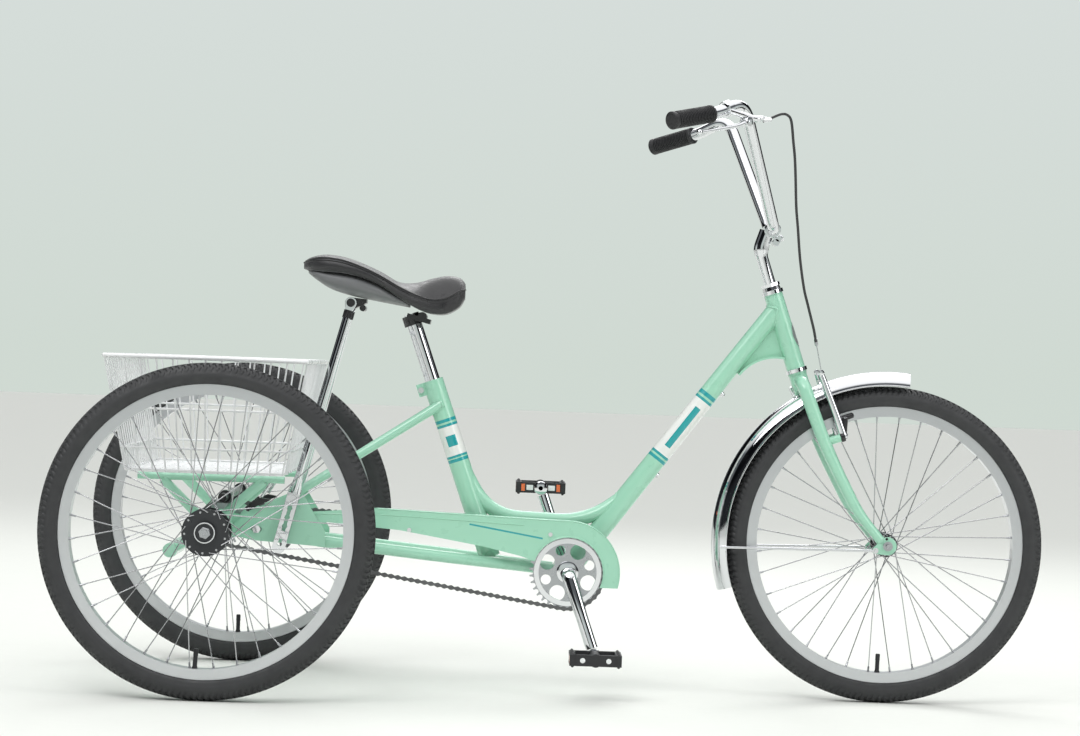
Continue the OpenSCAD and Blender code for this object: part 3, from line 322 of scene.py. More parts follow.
class Look:
    """A procedural material: noise in colour, roughness and bump over one base."""

    def __init__(self, name, colour, rough, metal=0.0, **more):
        self.mat = bpy.data.materials.new(name)
        self.mat.use_nodes = True
        self.tree = self.mat.node_tree
        self.shader = self.tree.nodes["Principled BSDF"]
        self.shader.inputs["Metallic"].default_value = metal
        for socket, value in more.get("sockets", {}).items():
            self.shader.inputs[socket].default_value = value
        self.place = self.node("ShaderNodeTexCoord").outputs["Object"]
        shade = more.get("shade", 0.06)
        dark = tuple(c * (1 - shade) for c in colour)
        light = tuple(min(c * (1 + shade), 1) for c in colour)
        self.colour = self.mix(self.noise(more.get("patch", 9)), dark, light)
        self.link(self.colour, "Base Color")
        spread = more.get("spread", 0.25)
        self.link(self.ranged(self.noise(more.get("smear", 45)), rough * (1 - spread),
                              rough * (1 + spread)), "Roughness")
        self.bump(self.noise(more.get("grain", 900)), more.get("depth", 0.02))

    def node(self, kind, **values):
        made = self.tree.nodes.new(kind)
        for key, value in values.items():
            setattr(made, key, value)
        return made

    def join(self, output, socket):
        self.tree.links.new(output, socket)

    def link(self, output, socket):
        self.join(output, self.shader.inputs[socket])

    def noise(self, scale, detail=4):
        made = self.node("ShaderNodeTexNoise")
        made.inputs["Scale"].default_value = scale
        made.inputs["Detail"].default_value = detail
        self.join(self.place, made.inputs["Vector"])
        return made.outputs["Fac"]

    def ranged(self, value, low, high):
        made = self.node("ShaderNodeMapRange")
        made.inputs["From Min"].default_value = 0.3
        made.inputs["From Max"].default_value = 0.7
        made.inputs["To Min"].default_value = low
        made.inputs["To Max"].default_value = high
        self.join(value, made.inputs["Value"])
        return made.outputs["Result"]

    def mix(self, factor, a, b):
        made = self.node("ShaderNodeMix", data_type="RGBA")
        self.join(factor, made.inputs["Factor"])
        for colour, socket in ((a, made.inputs[MIX_A]), (b, made.inputs[MIX_B])):
            if isinstance(colour, tuple):
                socket.default_value = (*colour, 1)
            else:
                self.join(colour, socket)
        return made.outputs[MIX_OUT]

    def bump(self, height, strength):
        made = self.node("ShaderNodeBump")
        made.inputs["Strength"].default_value = strength
        made.inputs["Distance"].default_value = 0.001
        self.join(height, made.inputs["Height"])
        self.link(made.outputs["Normal"], "Normal")

    def calc(self, operation, a, b):
        made = self.node("ShaderNodeMath", operation=operation)
        for value, socket in ((a, made.inputs[0]), (b, made.inputs[1])):
            if isinstance(value, (int, float)):
                socket.default_value = value
            else:
                self.join(value, socket)
        return made.outputs[0]

    def distance_along(self, origin, axis):
        """How far a point lies along an axis from origin, in millimetres."""
        moved = self.node("ShaderNodeVectorMath", operation="SUBTRACT")
        moved.inputs[1].default_value = Vector(origin) * MM
        self.join(self.place, moved.inputs[0])
        dot = self.node("ShaderNodeVectorMath", operation="DOT_PRODUCT")
        dot.inputs[1].default_value = Vector(axis).normalized() / MM
        self.join(moved.outputs[0], dot.inputs[0])
        return dot.outputs["Value"]

    def between(self, value, low, high):
        """One where value lies between low and high, and nought elsewhere."""
        return self.calc("MULTIPLY", self.calc("GREATER_THAN", value, low),
                         self.calc("LESS_THAN", value, high))

    def bands(self, along, bands):
        """Plain rings of colour around a tube: (start, end, colour) along it."""
        for low, high, colour in bands:
            self.colour = self.mix(self.between(along, low, high), self.colour, colour)
        self.link(self.colour, "Base Color")

    def patch(self, along, span, across, half, colour):
        """A plain rectangle on a tube: span along it and half wide across it."""
        inside = self.calc("MULTIPLY", self.between(along, *span),
                           self.between(across, -half, half))
        self.colour = self.mix(inside, self.colour, colour)
        self.link(self.colour, "Base Color")


MINT = (0.36, 0.70, 0.52)
TEAL = (0.01, 0.36, 0.38)
WHITE = (0.86, 0.88, 0.85)
ENAMEL = {"Coat Weight": 0.7, "Coat Roughness": 0.06}


def mint_paint(name):
    return Look(name, MINT, 0.32, shade=0.03, depth=0.015, grain=2200, sockets=ENAMEL)


paint = mint_paint("mint_enamel").mat
down_paint = mint_paint("mint_enamel_down_tube")
down_along = down_paint.distance_along(BB, DOWN_TOP - BB)
down_across = down_paint.distance_along(BB, (-0.802, 0, 0.597))
down_paint.bands(down_along, [(270.3, 276.3, TEAL), (280.2, 285.2, TEAL), (285.2, 412, WHITE),
                              (412.4, 417.4, TEAL), (421.8, 429.8, TEAL)])
down_paint.patch(down_along, (302, 396), down_across, 6, TEAL)
seat_paint = mint_paint("mint_enamel_seat_tube")
seat_along = seat_paint.distance_along(SEAT_TOP, -SEAT_DIR)
seat_across = seat_paint.distance_along(SEAT_TOP, (0.94, 0, 0.342))
seat_paint.bands(seat_along, [(77.5, 83.5, TEAL), (87.5, 92.3, TEAL), (92.3, 148.5, WHITE),
                              (148.5, 153, TEAL), (155.4, 161.4, TEAL)])
seat_paint.patch(seat_along, (110, 131), seat_across, 9.5, TEAL)
guard_paint = mint_paint("mint_enamel_guard")
guard_along = guard_paint.distance_along((0, 0, 0), (1, 0, -0.16))
guard_across = guard_paint.distance_along((-150, 0, 312), (0.16, 0, 1))
guard_paint.patch(guard_along, (-210, -70), guard_across, 1.6, TEAL)

chrome = Look("chrome", (0.72, 0.73, 0.75), 0.06, 1.0, shade=0.03, depth=0.004, spread=0.5).mat
steel = Look("brushed_steel", (0.46, 0.47, 0.49), 0.28, 1.0, shade=0.04, spread=0.12, depth=0.05,
             grain=1400).mat
alloy = Look("satin_alloy", (0.64, 0.65, 0.67), 0.30, 1.0, shade=0.02, spread=0.08, depth=0.02,
             grain=1800).mat
rubber = Look("tyre_rubber", (0.035, 0.036, 0.038), 0.62, shade=0.25, depth=0.12, grain=700).mat
grip_look = Look("grip_rubber", (0.018, 0.018, 0.02), 0.5, shade=0.3, depth=0.15, grain=1100).mat
black = Look("black_enamel", (0.012, 0.012, 0.014), 0.3, shade=0.2, depth=0.05, grain=900,
             sockets={"Coat Weight": 0.3}).mat
hub_look = Look("hub_black", (0.05, 0.052, 0.056), 0.34, 0.6, shade=0.2, depth=0.03).mat
spoke_look = Look("spoke_steel", (0.46, 0.465, 0.48), 0.2, 1.0, depth=0.02).mat
chain_look = Look("chain_steel", (0.16, 0.16, 0.165), 0.38, 0.9, shade=0.35, patch=300,
                  depth=0.06).mat
wire_look = Look("white_wire", (0.84, 0.85, 0.86), 0.28, shade=0.04, depth=0.06, grain=500,
                 sockets={"Coat Weight": 0.5}).mat
pedal_look = Look("pedal_plastic", (0.022, 0.022, 0.024), 0.45, shade=0.3, depth=0.12,
                  grain=1500).mat
amber = Look("amber_reflector", (0.85, 0.16, 0.03), 0.12, shade=0.12, patch=400, depth=0.25,
             grain=420, sockets={"Coat Weight": 0.8}).mat
clear = Look("clear_reflector", (0.86, 0.88, 0.88), 0.16, shade=0.08, patch=400, depth=0.25,
             grain=420, sockets={"Coat Weight": 0.8}).mat
pan_look = Look("pan_plastic", (0.16, 0.165, 0.17), 0.48, shade=0.14, depth=0.10, grain=1300).mat
badge_look = Look("badge", (0.70, 0.78, 0.76), 0.2, 0.6, depth=0.02).mat


def vinyl():
    """Black saddle cover: pebbled grain with a satin sheen."""
    look = Look("saddle_vinyl", (0.022, 0.022, 0.024), 0.36, shade=0.25, patch=30,
                sockets={"Sheen Weight": 0.15})
    cells = look.node("ShaderNodeTexVoronoi")
    cells.inputs["Scale"].default_value = 620
    look.join(look.place, cells.inputs["Vector"])
    look.bump(look.calc("MULTIPLY", cells.outputs["Distance"], look.noise(90)), 0.5)
    return look.mat


cover = vinyl()

CAD_LOOKS = {
    paint: ["head_tube", "head_gusset", "bottom_bracket_shell", "seat_stays", "axle_plates",
            "axle_housings", "basket_struts", "rear_cross_tube", "fork_crown"],
    down_paint.mat: ["down_tube"],
    seat_paint.mat: ["seat_tube"],
    guard_paint.mat: ["chainguard"],
    chrome: ["frame_bolts", "bearing_cups", "steerer_tube", "headset_locknut", "stem_bolts",
             "front_fender", "fender_stays", "seat_post", "strut_bolts"],
    steel: ["frame_bearings", "rear_axle", "front_axle", "chainring", "rear_sprocket"],
    spoke_look: ["front_spokes", "left_spokes", "right_spokes"],
    alloy: ["front_rim", "left_rim", "right_rim"],
    hub_look: ["front_hub", "left_hub", "right_hub"],
    black: ["brace_bar", "saddle_base"],
    wire_look: ["basket_rim"],
}


def dress_cad():
    for look, names in CAD_LOOKS.items():
        for name in names:
            for place in frame["nodes"][name].material_slots:
                place.material = look


# ---------- wheels ----------
TREAD_BLOCKS = 168
# Across one block: share of its length, depth of the groove there
GROOVE = [(0.0, 0.0), (0.42, 0.0), (0.52, 2.8), (0.90, 2.8)]


def tyre(centre):
    """A tyre whose tread has a plain centre rib between slanted grooves."""
    profile = []
    for i in range(-18, 19):
        a = math.radians(7 * i)
        r = TYRE_R - (0.7 if abs(i) in (10, 15) else 0)
        profile.append((TYRE_MID + r * math.cos(a), r * math.sin(a), 1 <= abs(i) <= 9))
    inner = [(RIM_R + 0.7, 11.3, False), (RIM_R - 6, 11.3, False), (RIM_R - 6, -11.3, False),
             (RIM_R + 0.7, -11.3, False)]
    rows = profile + inner
    points = []
    for knob in range(TREAD_BLOCKS):
        for share, depth in GROOVE:
            for r, y, cut in rows:
                slant = 0.5 * math.sin(abs(y) / 4) + abs(y) / 14
                a = math.tau * (knob + share + slant) / TREAD_BLOCKS
                low = r - depth if cut else r
                points.append(centre + Vector((low * math.cos(a), y, low * math.sin(a))))
    return points, grid_faces(TREAD_BLOCKS * len(GROOVE), len(rows), True)


# Nine spokes a set; two sets on each flange lead opposite ways from hub to rim
SET_SPOKES = 9
SET_PITCH = 40
SPOKE_START = 5
SPOKE_LEAD = 60


def nipples(centre, hole_r, flange_y):
    """The nut at the rim end of each spoke."""
    shapes = []
    for side in (-1, 1):
        for lead in (0, 1):
            for k in range(SET_SPOKES):
                hub_a = SPOKE_START + SET_PITCH * (k + lead / 2) + (10 if side > 0 else 0)
                rim_a = hub_a + (SPOKE_LEAD if lead == 0 else -SPOKE_LEAD)
                off = 4.1 if lead == 0 else -2.8
                hole = polar(centre, hole_r, hub_a) + Vector((0, side * (flange_y + off), 0))
                end = polar(centre, RIM_INNER_R + 0.4, rim_a) + Vector((0, side * 3, 0))
                shapes.append(turned(end, hole - end, [(0, 2.3), (2, 2.3), (3, 1.9), (10, 1.7),
                                                       (11, 1.2)], 10))
    return shapes


def wheel(name, centre, hole_r, flange_y):
    piece(f"{name}_tyre_tread", rubber, [tyre(centre)], f"{name}_tyre",
          sharp=24)
    piece(f"{name}_nipples", steel, nipples(centre, hole_r, flange_y), rides=f"{name}_spokes")
    edges = [hoop(centre + Vector((0, side * 13.2, 0)), (0, 1, 0),
                  [(0.8 * math.cos(a), RIM_R - 0.4 + 0.8 * math.sin(a))
                   for a in (i * math.tau / 8 for i in range(8))], 160) for side in (-1, 1)]
    piece(f"{name}_rim_edges", alloy, edges, rides=f"{name}_rim")


def valves():
    """The black stem of each tube's valve, with its cap."""
    for (name, centre), angle in zip(WHEELS.items(), (-91, -90, -93)):
        start = polar(centre, RIM_INNER_R - 0.2, angle)
        stem = turned(start, centre - start, [(0, 5.2), (2, 4.8), (4, 4), (22, 4), (22.5, 4.4),
                                              (33, 4.3), (34.6, 3.6), (34.8, 1)], 20)
        piece(f"{name}_valve", grip_look, [stem], rides=f"{name}_rim")


def rear_caps():
    for name in ("left", "right"):
        centre = WHEELS[name]
        out = Vector((0, 1 if name == "left" else -1, 0))
        cap = hoop(centre + 35.9 * out, out, [(0, 19.2), (2.2, 19.2), (3.4, 18.4), (3.4, 16.6),
                                              (2.4, 15.8), (0, 15.8)])
        piece(f"{name}_hub_cap", chrome, [cap], rides=f"{name}_hub")
        nut = turned(centre + 36.05 * out, out, [(0, 10.8), (3.6, 10.8), (4.4, 9.8), (4.4, 8.1)], 6)
        piece(f"{name}_axle_nut", steel, [nut], rides="rear_axle")


# ---------- frame ----------
def curved_tube():
    path = rounded([(-190, 0, 436), (-128, 0, 328), CURVED_LOW, CURVED_HIGH], [62, 58], 16)
    piece("step_through_tube", paint, [sweep(path, CURVED_R, 32)], "curved_tube")


def chainstays():
    path = rounded([(-3.5, -22, 231.7), (-62, -24, 237.2), (-190, -52, 248.9), (-446, -52, 272)],
                   [24, 60], 10)
    shapes = both(sweep(path, 11, 28))
    shapes.append(barrel((-122.5, -25, 250.3), (-122.5, 25, 250.3), 11))
    piece("chainstay_tubes", paint, shapes, "chainstays")


def weld_beads():
    head = (on_head(0), on_head(HEAD_LEN), 17.75)
    down = (BB, DOWN_TOP)
    shell = (BB - Vector((0, 30, 0)), BB + Vector((0, 30, 0)), 28)
    foot = SEAT_TOP - 352 * SEAT_DIR
    beads = [seam(*down, 17.6, *head, bead=2.2), seam(DOWN_TOP, BB, 20.2, *shell, bead=2.2),
             seam(CURVED_LOW, CURVED_HIGH, CURVED_R, BB, DOWN_TOP, 19.2)]
    beads += both(seam((-497, -55, 355), (-222, -14, 538), 9.4, foot, SEAT_TOP, 20, 1.4))
    piece("weld_beads", paint, beads, rides="down_tube")


def cable_bosses():
    along = (DOWN_TOP - BB).normalized()
    below = Vector((along[2], 0, -along[0]))
    shapes = []
    for t in (248, 445):
        start = BB + t * along + 17 * below
        shapes.append(turned(start, below, [(0, 5.5), (3, 5.2), (5.6, 4.6), (6.4, 3.4)], 24))
    piece("cable_bosses", chrome, shapes, rides="down_tube")


def head_badge():
    """A plain oval plate, with no mark, on the front of the head tube."""
    shapes = []
    for size, lift in ((1.0, 18.3), (0.78, 18.8)):
        rows = []
        for i in range(9):
            s = 62 + size * 24 * math.cos(math.pi * i / 8)
            half = size * 26 * math.sin(math.pi * i / 8) + 0.5
            for j in range(7):
                a = math.radians(half * (j / 3 - 1)) * 1.9
                out = Vector((math.cos(HEAD_LEAN) * math.cos(a), math.sin(a),
                              math.sin(HEAD_LEAN) * math.cos(a)))
                rows.append(on_head(s) + lift * out)
        faces = [(7 * i + j, 7 * i + j + 1, 7 * i + j + 8, 7 * i + j + 7)
                 for i in range(8) for j in range(6)]
        shapes.append((rows, faces))
    piece("head_badge", badge_look, shapes, rides="head_tube")


GUARD_FACE_Y = -63.3
GUARD_HEM_Y = -62.8


def guard_beads():
    """The rolled edges and the crease of the chainguard."""
    edge = [polar(BB, 67.6, a, GUARD_FACE_Y) for a in range(-14, 151, 3)]
    crease = [(x, GUARD_FACE_Y, z) for x, z in ((-470, 322), (-335, 326), (-60, 316))]
    hem = [(x, GUARD_HEM_Y, z) for x, z in ((-335, 337), (-21, 327), (25, 326))]
    rim = [polar(BB, 97, a, GUARD_HEM_Y) for a in range(-14, 89, 4)]
    shapes = [sweep(edge, 1.5, 8), sweep(spline(crease), 0.9, 8), sweep(spline(hem), 1.2, 8),
              sweep(rim, 1.2, 8)]
    piece("guard_beads", guard_paint.mat, shapes, rides="chainguard")


# ---------- fork, stem and bar ----------
def fork():
    crown = on_head(-27)
    path = rounded([crown + Vector((0, -17.2, 0)), crown + Vector((0, -50, 0)), (503, -50, 480),
                    (566, -50, 363), FORK_TIP], [28, 60, 30], 10)
    taper = [13 - 4 * max(0, i / (len(path) - 1) - 0.3) / 0.7 for i in range(len(path))]
    tip = turned(FORK_TIP, (45.2, 0, -52.7), [(-1, 9), (3, 8), (7, 4), (8, 1)], 28)
    holes = [circle(FRONT_X, WHEEL_R, 4.9), circle(*UPPER_EYELET, 2.6, 16),
             circle(*LOWER_EYELET, 2.6, 16)]
    tab = plate(hull_outline([(FRONT_X, WHEEL_R, 17), (*LOWER_EYELET, 6)]), -55, -50, holes)
    boss = barrel(BRAKE_PIVOT - 25.6 * HEAD_ACROSS, BRAKE_PIVOT - 4.4 * HEAD_ACROSS, 7.5)
    piece("fork_legs", paint, both(sweep(path, taper, 32, (1, 0, 0)), tip, tab, boss),
          "fork_blades")
    pins = both(barrel(BRAKE_PIVOT - 5 * HEAD_ACROSS, BRAKE_PIVOT + 8 * HEAD_ACROSS, 3.9, 0.5, 24))
    piece("brake_studs", chrome, pins, rides="fork_blades")


def bar_half():
    return rounded([BAR_MID, *BAR_CORNERS], [22, 36, 16], 12)


def handlebar():
    half = bar_half()
    path = list(reversed(half[1:])) + [flip(p) for p in half[1:]]
    piece("swept_bar", chrome, [sweep(path, 11.1, 36, (0, 0, 1))], "handlebar")


def stem():
    low = on_head(HEAD_LEN + 12)
    path = rounded([low, on_head(HEAD_LEN + 86), BAR_MID - Vector((9, 0, 3))], [14], 12)
    radii = [11.1 + 3.2 * min(1, 2 * i / len(path)) for i in range(len(path))]
    clamp = hoop(BAR_MID - Vector((0, 19, 0)), (0, 1, 0),
                 [(0, 11.2), (0, 14.6), (1.4, 16), (36.6, 16), (38, 14.6), (38, 11.2)])
    lug_way = Vector((math.sin(math.radians(152)), 0, math.cos(math.radians(152))))
    ears = []
    for side in (-1, 1):
        middle = BAR_MID + 22 * lug_way + Vector((side * 4.2 * 0.47, 0, side * 4.2 * 0.88))
        ears.append(turned(middle - Vector((0, 12, 0)), (0, 1, 0),
                           [(0, 6), (1.5, 7.5), (22.5, 7.5), (24, 6)], 24))
    piece("gooseneck_stem", chrome, [sweep(path, radii, 32), clamp, *ears], "stem")


def grips():
    start, end = Vector(BAR_CORNERS[2]), Vector(BAR_CORNERS[3])
    way = (end - start).normalized()
    first = start + 14 * way
    length = (end + 5 * way - first).length
    profile = [(0, 12), (0, 15.6), (1, 16.4), (5, 16.4), (6, 14.6)]
    rib = 7.0
    while rib < length - 12:
        profile += [(rib, 14.6), (rib + 0.5, 16), (rib + 2.2, 16), (rib + 2.7, 14.6)]
        rib += 3.9
    profile += [(length - 8, 16.4), (length - 3, 16.4), (length - 1, 14.5), (length, 10)]
    piece("ribbed_grips", grip_look, both(turned(first, way, profile, 40)), "grips")


def brake_lever():
    corner = Vector(BAR_CORNERS[2])
    bar_way = (corner - Vector(BAR_CORNERS[1])).normalized()
    middle = corner - 30 * bar_way
    axis = Vector((-0.66, 0.751, 0)).normalized()
    band = hoop(middle - 8 * bar_way, bar_way, [(0, 11.3), (0, 13.8), (1.2, 15), (14.8, 15),
                                                (16, 13.8), (16, 11.3)])
    arm = sweep(spline([middle + Vector((4, -8, -5)), (330, -211, 1080), (342, -207, 1082),
                        (352, -204, 1079)]), [8, 7.5, 6.5, 5.5], 20, flat=0.8)
    ferrule = turned((348, -205.5, 1079.5), (0.7, 0.25, 0.05),
                     [(0, 5.4), (6, 5.4), (7, 4.4), (15, 4.2), (16, 3)], 20)
    forks = [barrel(LEVER_PIVOT + side * 5.7 * axis, LEVER_PIVOT + side * 8.6 * axis, 9, 0.7)
             for side in (-1, 1)]
    pin = barrel(LEVER_PIVOT - 10.5 * axis, LEVER_PIVOT + 10.5 * axis, 2.5, 0.4, 20)
    piece("lever_bracket", chrome, [band, arm, ferrule, *forks, pin], "brake_lever_body")
    way = Vector((-0.736, -0.634, -0.235)).normalized()
    dip = way.cross(axis).normalized()
    path = spline([LEVER_PIVOT + 2 * way, LEVER_PIVOT + 28 * way + 3 * dip,
                   LEVER_PIVOT + 70 * way + 2 * dip, LEVER_PIVOT + 122 * way], 8)
    blade = sweep(path, [7, 6.5, 5.8, 5.4, 5], 20, axis, flat=0.62)
    ball = turned(LEVER_PIVOT + 115 * way, way,
                  [(0.3, 2)] + [(6.5 - 6 * math.cos(a), max(6 * math.sin(a), 0.2))
                                for a in (math.pi * i / 12 for i in range(2, 13))], 24)
    eye = barrel(LEVER_PIVOT - 5.2 * axis, LEVER_PIVOT + 5.2 * axis, 8.4, 0.7)
    piece("lever_blade", chrome, [blade, ball, eye], "brake_lever_blade")


CABLE = [(354, -203, 1079), (368, -198, 1086), (382, -193, 1092), (393, -190, 1091),
         (401, -186, 1080), (407, -175, 1045), (412, -165, 1015), (416, -153, 979),
         (421, -135, 927), (427, -122, 887), (435, -103, 832), (446, -85, 779),
         (455, -75, 750), (464, -66, 722), (471, -58, 700), (476, -52, 679)]
BARE_WIRE = [(476, -52, 679), (483, -47, 650), (489, -41, 626), (490, -35, 622)]


def brake_cable():
    jacket = sweep(spline(CABLE, 4), 2.5, 14)
    end = Vector(CABLE[-1])
    ferrule = turned(end + Vector((-1, 1, 6)), (5, 6, -21), [(0, 3.3), (12, 3.3), (14, 2.2)], 16)
    piece("cable_jacket", black, [jacket], "brake_cable")
    wires = [sweep(spline(BARE_WIRE, 4), 0.9, 8), sweep([(490, -34, 622), (490, 58, 622)], 0.8, 8),
             ferrule]
    piece("cable_wire", steel, wires, rides="brake_cable")


PAD_ANGLE = 110.3


def brake_arm(name, mirror):
    way, pivot, top = HEAD_ACROSS, BRAKE_PIVOT, BRAKE_TOP
    pad = polar(WHEELS["front"], 253, PAD_ANGLE, -20.3)
    turn = math.radians(PAD_ANGLE)
    along = Vector((-math.sin(turn), 0, math.cos(turn)))
    up = (top - pivot).normalized()
    arm = sweep([pivot + Vector((0, 2, 0)) + 2 * way, pivot + 40 * up + 2 * way,
                 pivot + 85 * up + way, top], [7.5, 6.6, 5.8, 5], 24, (0, 1, 0), 1.15)
    boss = turned(pivot - 4 * way, way, [(0, 8), (1, 9), (7, 9), (8, 8)])
    bolt = turned(pivot + 4.2 * way, way, [(0, 5.5), (3, 5.5), (4, 4.6)], 24)
    clinch = barrel(top + Vector((0, -5.5, 3)), top + Vector((0, 5, 3)), 5.4, 0.6, 24)
    metal = [arm, bolt, clinch, barrel(pad - Vector((0, 25, 0)), pad - Vector((0, 3.8, 0)), 3)]
    link = sweep([pivot + Vector((0, 1.5, 0)) + 2 * way, pad - Vector((0, 24, 0))], 5.6, 20)
    shoe_path = [pad + s * along for s in (-20, -18.5, -10, 0, 10, 18.5, 20)]
    shoe = sweep(shoe_path, [2.6, 4, 4.1, 4.1, 4.1, 4, 2.6], 20, (0, 1, 0), 1.25)
    dark = [boss, link, shoe]
    if mirror:
        metal = [mirrored(s) for s in metal]
        dark = [mirrored(s) for s in dark]
    piece(f"{name}_metal", chrome, metal, name)
    piece(f"{name}_dark_parts", black, dark, rides=name)


def fender_edges():
    centre = WHEELS["front"]
    lines = [sweep(arc(centre, 302.2, 83.4, 197.2, 90, side * 29.2), 1.5, 10) for side in (-1, 1)]
    centre_rib = sweep(arc(centre, 327.2, 83.6, 197, 90, 0), 1.2, 10)
    piece("fender_edges", chrome, [*lines, centre_rib], rides="front_fender")


# ---------- basket ----------
BASKET_TOP, BASKET_LOW = 607, 400
RIM_X, FLOOR_X = (-826, -462), (-786, -497)
RIM_Y, FLOOR_Y = 280, 250
WIRE_R = 1.6


def basket_point(u, v, h):
    """A point on the basket: u and v run from -1 to 1 across it, h from floor to rim."""
    x = [FLOOR_X[i] + (RIM_X[i] - FLOOR_X[i]) * h for i in (0, 1)]
    y = FLOOR_Y + (RIM_Y - FLOOR_Y) * h
    return Vector(((x[0] + x[1]) / 2 + u * (x[1] - x[0]) / 2, v * y,
                   BASKET_LOW + (BASKET_TOP - BASKET_LOW - 4) * h))


def basket():
    """Wires that run down one side, across the floor and up the other, with rings round them."""
    shapes = []
    walls = ((-1, 1), (-1, 0), (1, 0), (1, 1))
    for i in range(19):
        v = (i / 9 - 1) * 0.97
        path = rounded([basket_point(u, v, h) for u, h in walls], [7, 7], 4)
        shapes.append(sweep(path, WIRE_R, 10, (0, 1, 0)))
    for i in range(13):
        u = (i / 6 - 1) * 0.97
        path = rounded([basket_point(u, v, h) for v, h in walls], [7, 7], 4)
        shapes.append(sweep(path, WIRE_R, 10, (1, 0, 0)))
    for h in (0.015, 0.21, 0.56):
        ring = rounded([basket_point(0, -1, h), basket_point(1, -1, h), basket_point(1, 1, h),
                        basket_point(-1, 1, h), basket_point(-1, -1, h), basket_point(0, -1, h)],
                       [12] * 4, 4)
        shapes.append(sweep(ring[:-1], WIRE_R + 0.5, 10, (0, 0, 1), closed=True))
    for i in range(1, 6):
        ends = [basket_point(u, i / 3 - 1, 0) for u in (-1, 1)]
        shapes.append(sweep(ends, WIRE_R, 10, (0.3, 0.5, 0.8)))
    piece("basket_mesh", wire_look, shapes, "basket_wires")


# ---------- chain drive ----------
PITCH = 12.7
RING_TEETH, COG_TEETH = 34, 20
RING_R = PITCH / (2 * math.sin(math.pi / RING_TEETH))
COG_R = PITCH / (2 * math.sin(math.pi / COG_TEETH))
LINKS = 130
CHAIN_Y = -48
LINK_R = 4.4
LINK_WAIST = 2.0
ROLLER_R = 3.6
RIVET_R = 1.7
AXLE = Vector((REAR_X, 0, WHEEL_R))


def chain_points():
    """The rollers' centres, from the front of the top run and on round the loop."""
    span = AXLE - BB
    base = math.degrees(math.atan2(BB[2] - WHEEL_R, BB[0] - REAR_X))
    wrap = math.degrees(math.acos((COG_R - RING_R) / span.length))
    run = math.sqrt(span.length ** 2 - (RING_R - COG_R) ** 2)
    cog_arc = COG_R * math.radians(360 - 2 * wrap)
    step = (2 * run + cog_arc + RING_R * math.radians(2 * wrap)) / LINKS
    top, low = base + wrap, base - wrap
    points = []
    for k in range(LINKS):
        d = k * step
        if d < run:
            p = polar(BB, RING_R, top).lerp(polar(AXLE, COG_R, top), d / run)
        elif d < run + cog_arc:
            p = polar(AXLE, COG_R, top + math.degrees((d - run) / COG_R))
        elif d < 2 * run + cog_arc:
            p = polar(AXLE, COG_R, low).lerp(polar(BB, RING_R, low), (d - run - cog_arc) / run)
        else:
            p = polar(BB, RING_R, low + math.degrees((d - 2 * run - cog_arc) / RING_R))
        points.append(Vector((p[0], CHAIN_Y, p[2])))
    return points


def link_plate(a, b, y0, y1):
    """A figure-eight plate around two rollers."""
    along = (b - a).normalized()
    up = Vector((-along[2], 0, along[0]))
    middle = (a + b) / 2
    loop = []
    for end, start in ((b, -100), (a, 80)):
        for i in range(6):
            t = math.radians(start + 40 * i)
            loop.append(end + LINK_R * (math.cos(t) * along + math.sin(t) * up))
        loop.append(middle + (LINK_WAIST if end is b else -LINK_WAIST) * up)
    n = len(loop)
    points = [p + Vector((0, y, 0)) for y in (y0, y1) for p in loop]
    faces = [tuple(range(n)), tuple(range(n, 2 * n))]
    faces += [(i, (i + 1) % n, n + (i + 1) % n, n + i) for i in range(n)]
    return points, faces


def chain():
    dots = chain_points()
    shapes = []
    for k, a in enumerate(dots):
        b = dots[(k + 1) % LINKS]
        low, high = (2.0, 2.9) if k % 2 else (3.1, 4.0)
        shapes += [link_plate(a, b, low, high), link_plate(a, b, -high, -low)]
        shapes.append(turned(a - Vector((0, 2.2, 0)), (0, 1, 0), [(0, ROLLER_R), (4.4, ROLLER_R)],
                             12))
        shapes.append(turned(a - Vector((0, 4.3, 0)), (0, 1, 0), [(0, RIVET_R), (8.6, RIVET_R)],
                             8))
    piece("chain_links", chain_look, shapes, "chain")


def chainring_trim():
    out = Vector((0, -1, 0))
    ring = hoop(BB + 49.1 * out, out, [(0, 54), (1.1, 54.4), (1.1, 63.4), (0, 64)], 96)
    boss = turned(BB + 49.1 * out, out, [(0, 21), (1.5, 20.4), (2.2, 18)], 48)
    piece("chainring_trim", chrome, [ring, boss], rides="chainring")


# ---------- cranks and pedals ----------
def crank_arm():
    a, side = CRANK_DIR, Vector((CRANK_DIR[2], 0, -CRANK_DIR[0]))
    path = rounded([BB + Vector((0, -38, 0)), BB + Vector((0, -64, 0)),
                    BB + 66 * a + Vector((0, -80, 0)), BB + 146 * a + Vector((0, -89.5, 0))],
                   [16, 34], 10)
    radii = [15.0 - 3.8 * min(1, i / len(path) * 1.2) for i in range(len(path))]
    arm = sweep(path, radii, 28, side, flat=0.62)
    foot = BB + CRANK_LEN * a
    eye = turned(foot + Vector((0, -96, 0)), (0, 1, 0), [(0, 10.5), (0.8, 12.4), (2, 13),
                                                        (14, 13), (15.2, 12.4), (16, 10.5)])
    spindle = barrel(foot + Vector((0, -178, 0)), foot + Vector((0, -80, 0)), 4.98, 0.6, 28)
    hexagon = turned(foot + Vector((0, -99, 0)), (0, 1, 0), [(0, 7), (0.4, 7.6), (3, 7.6)], 6)
    return [arm, eye, spindle, hexagon]


def opposite(shape):
    points, faces = shape
    return [Vector((2 * BB[0] - p[0], -p[1], 2 * BB[2] - p[2])) for p in points], faces


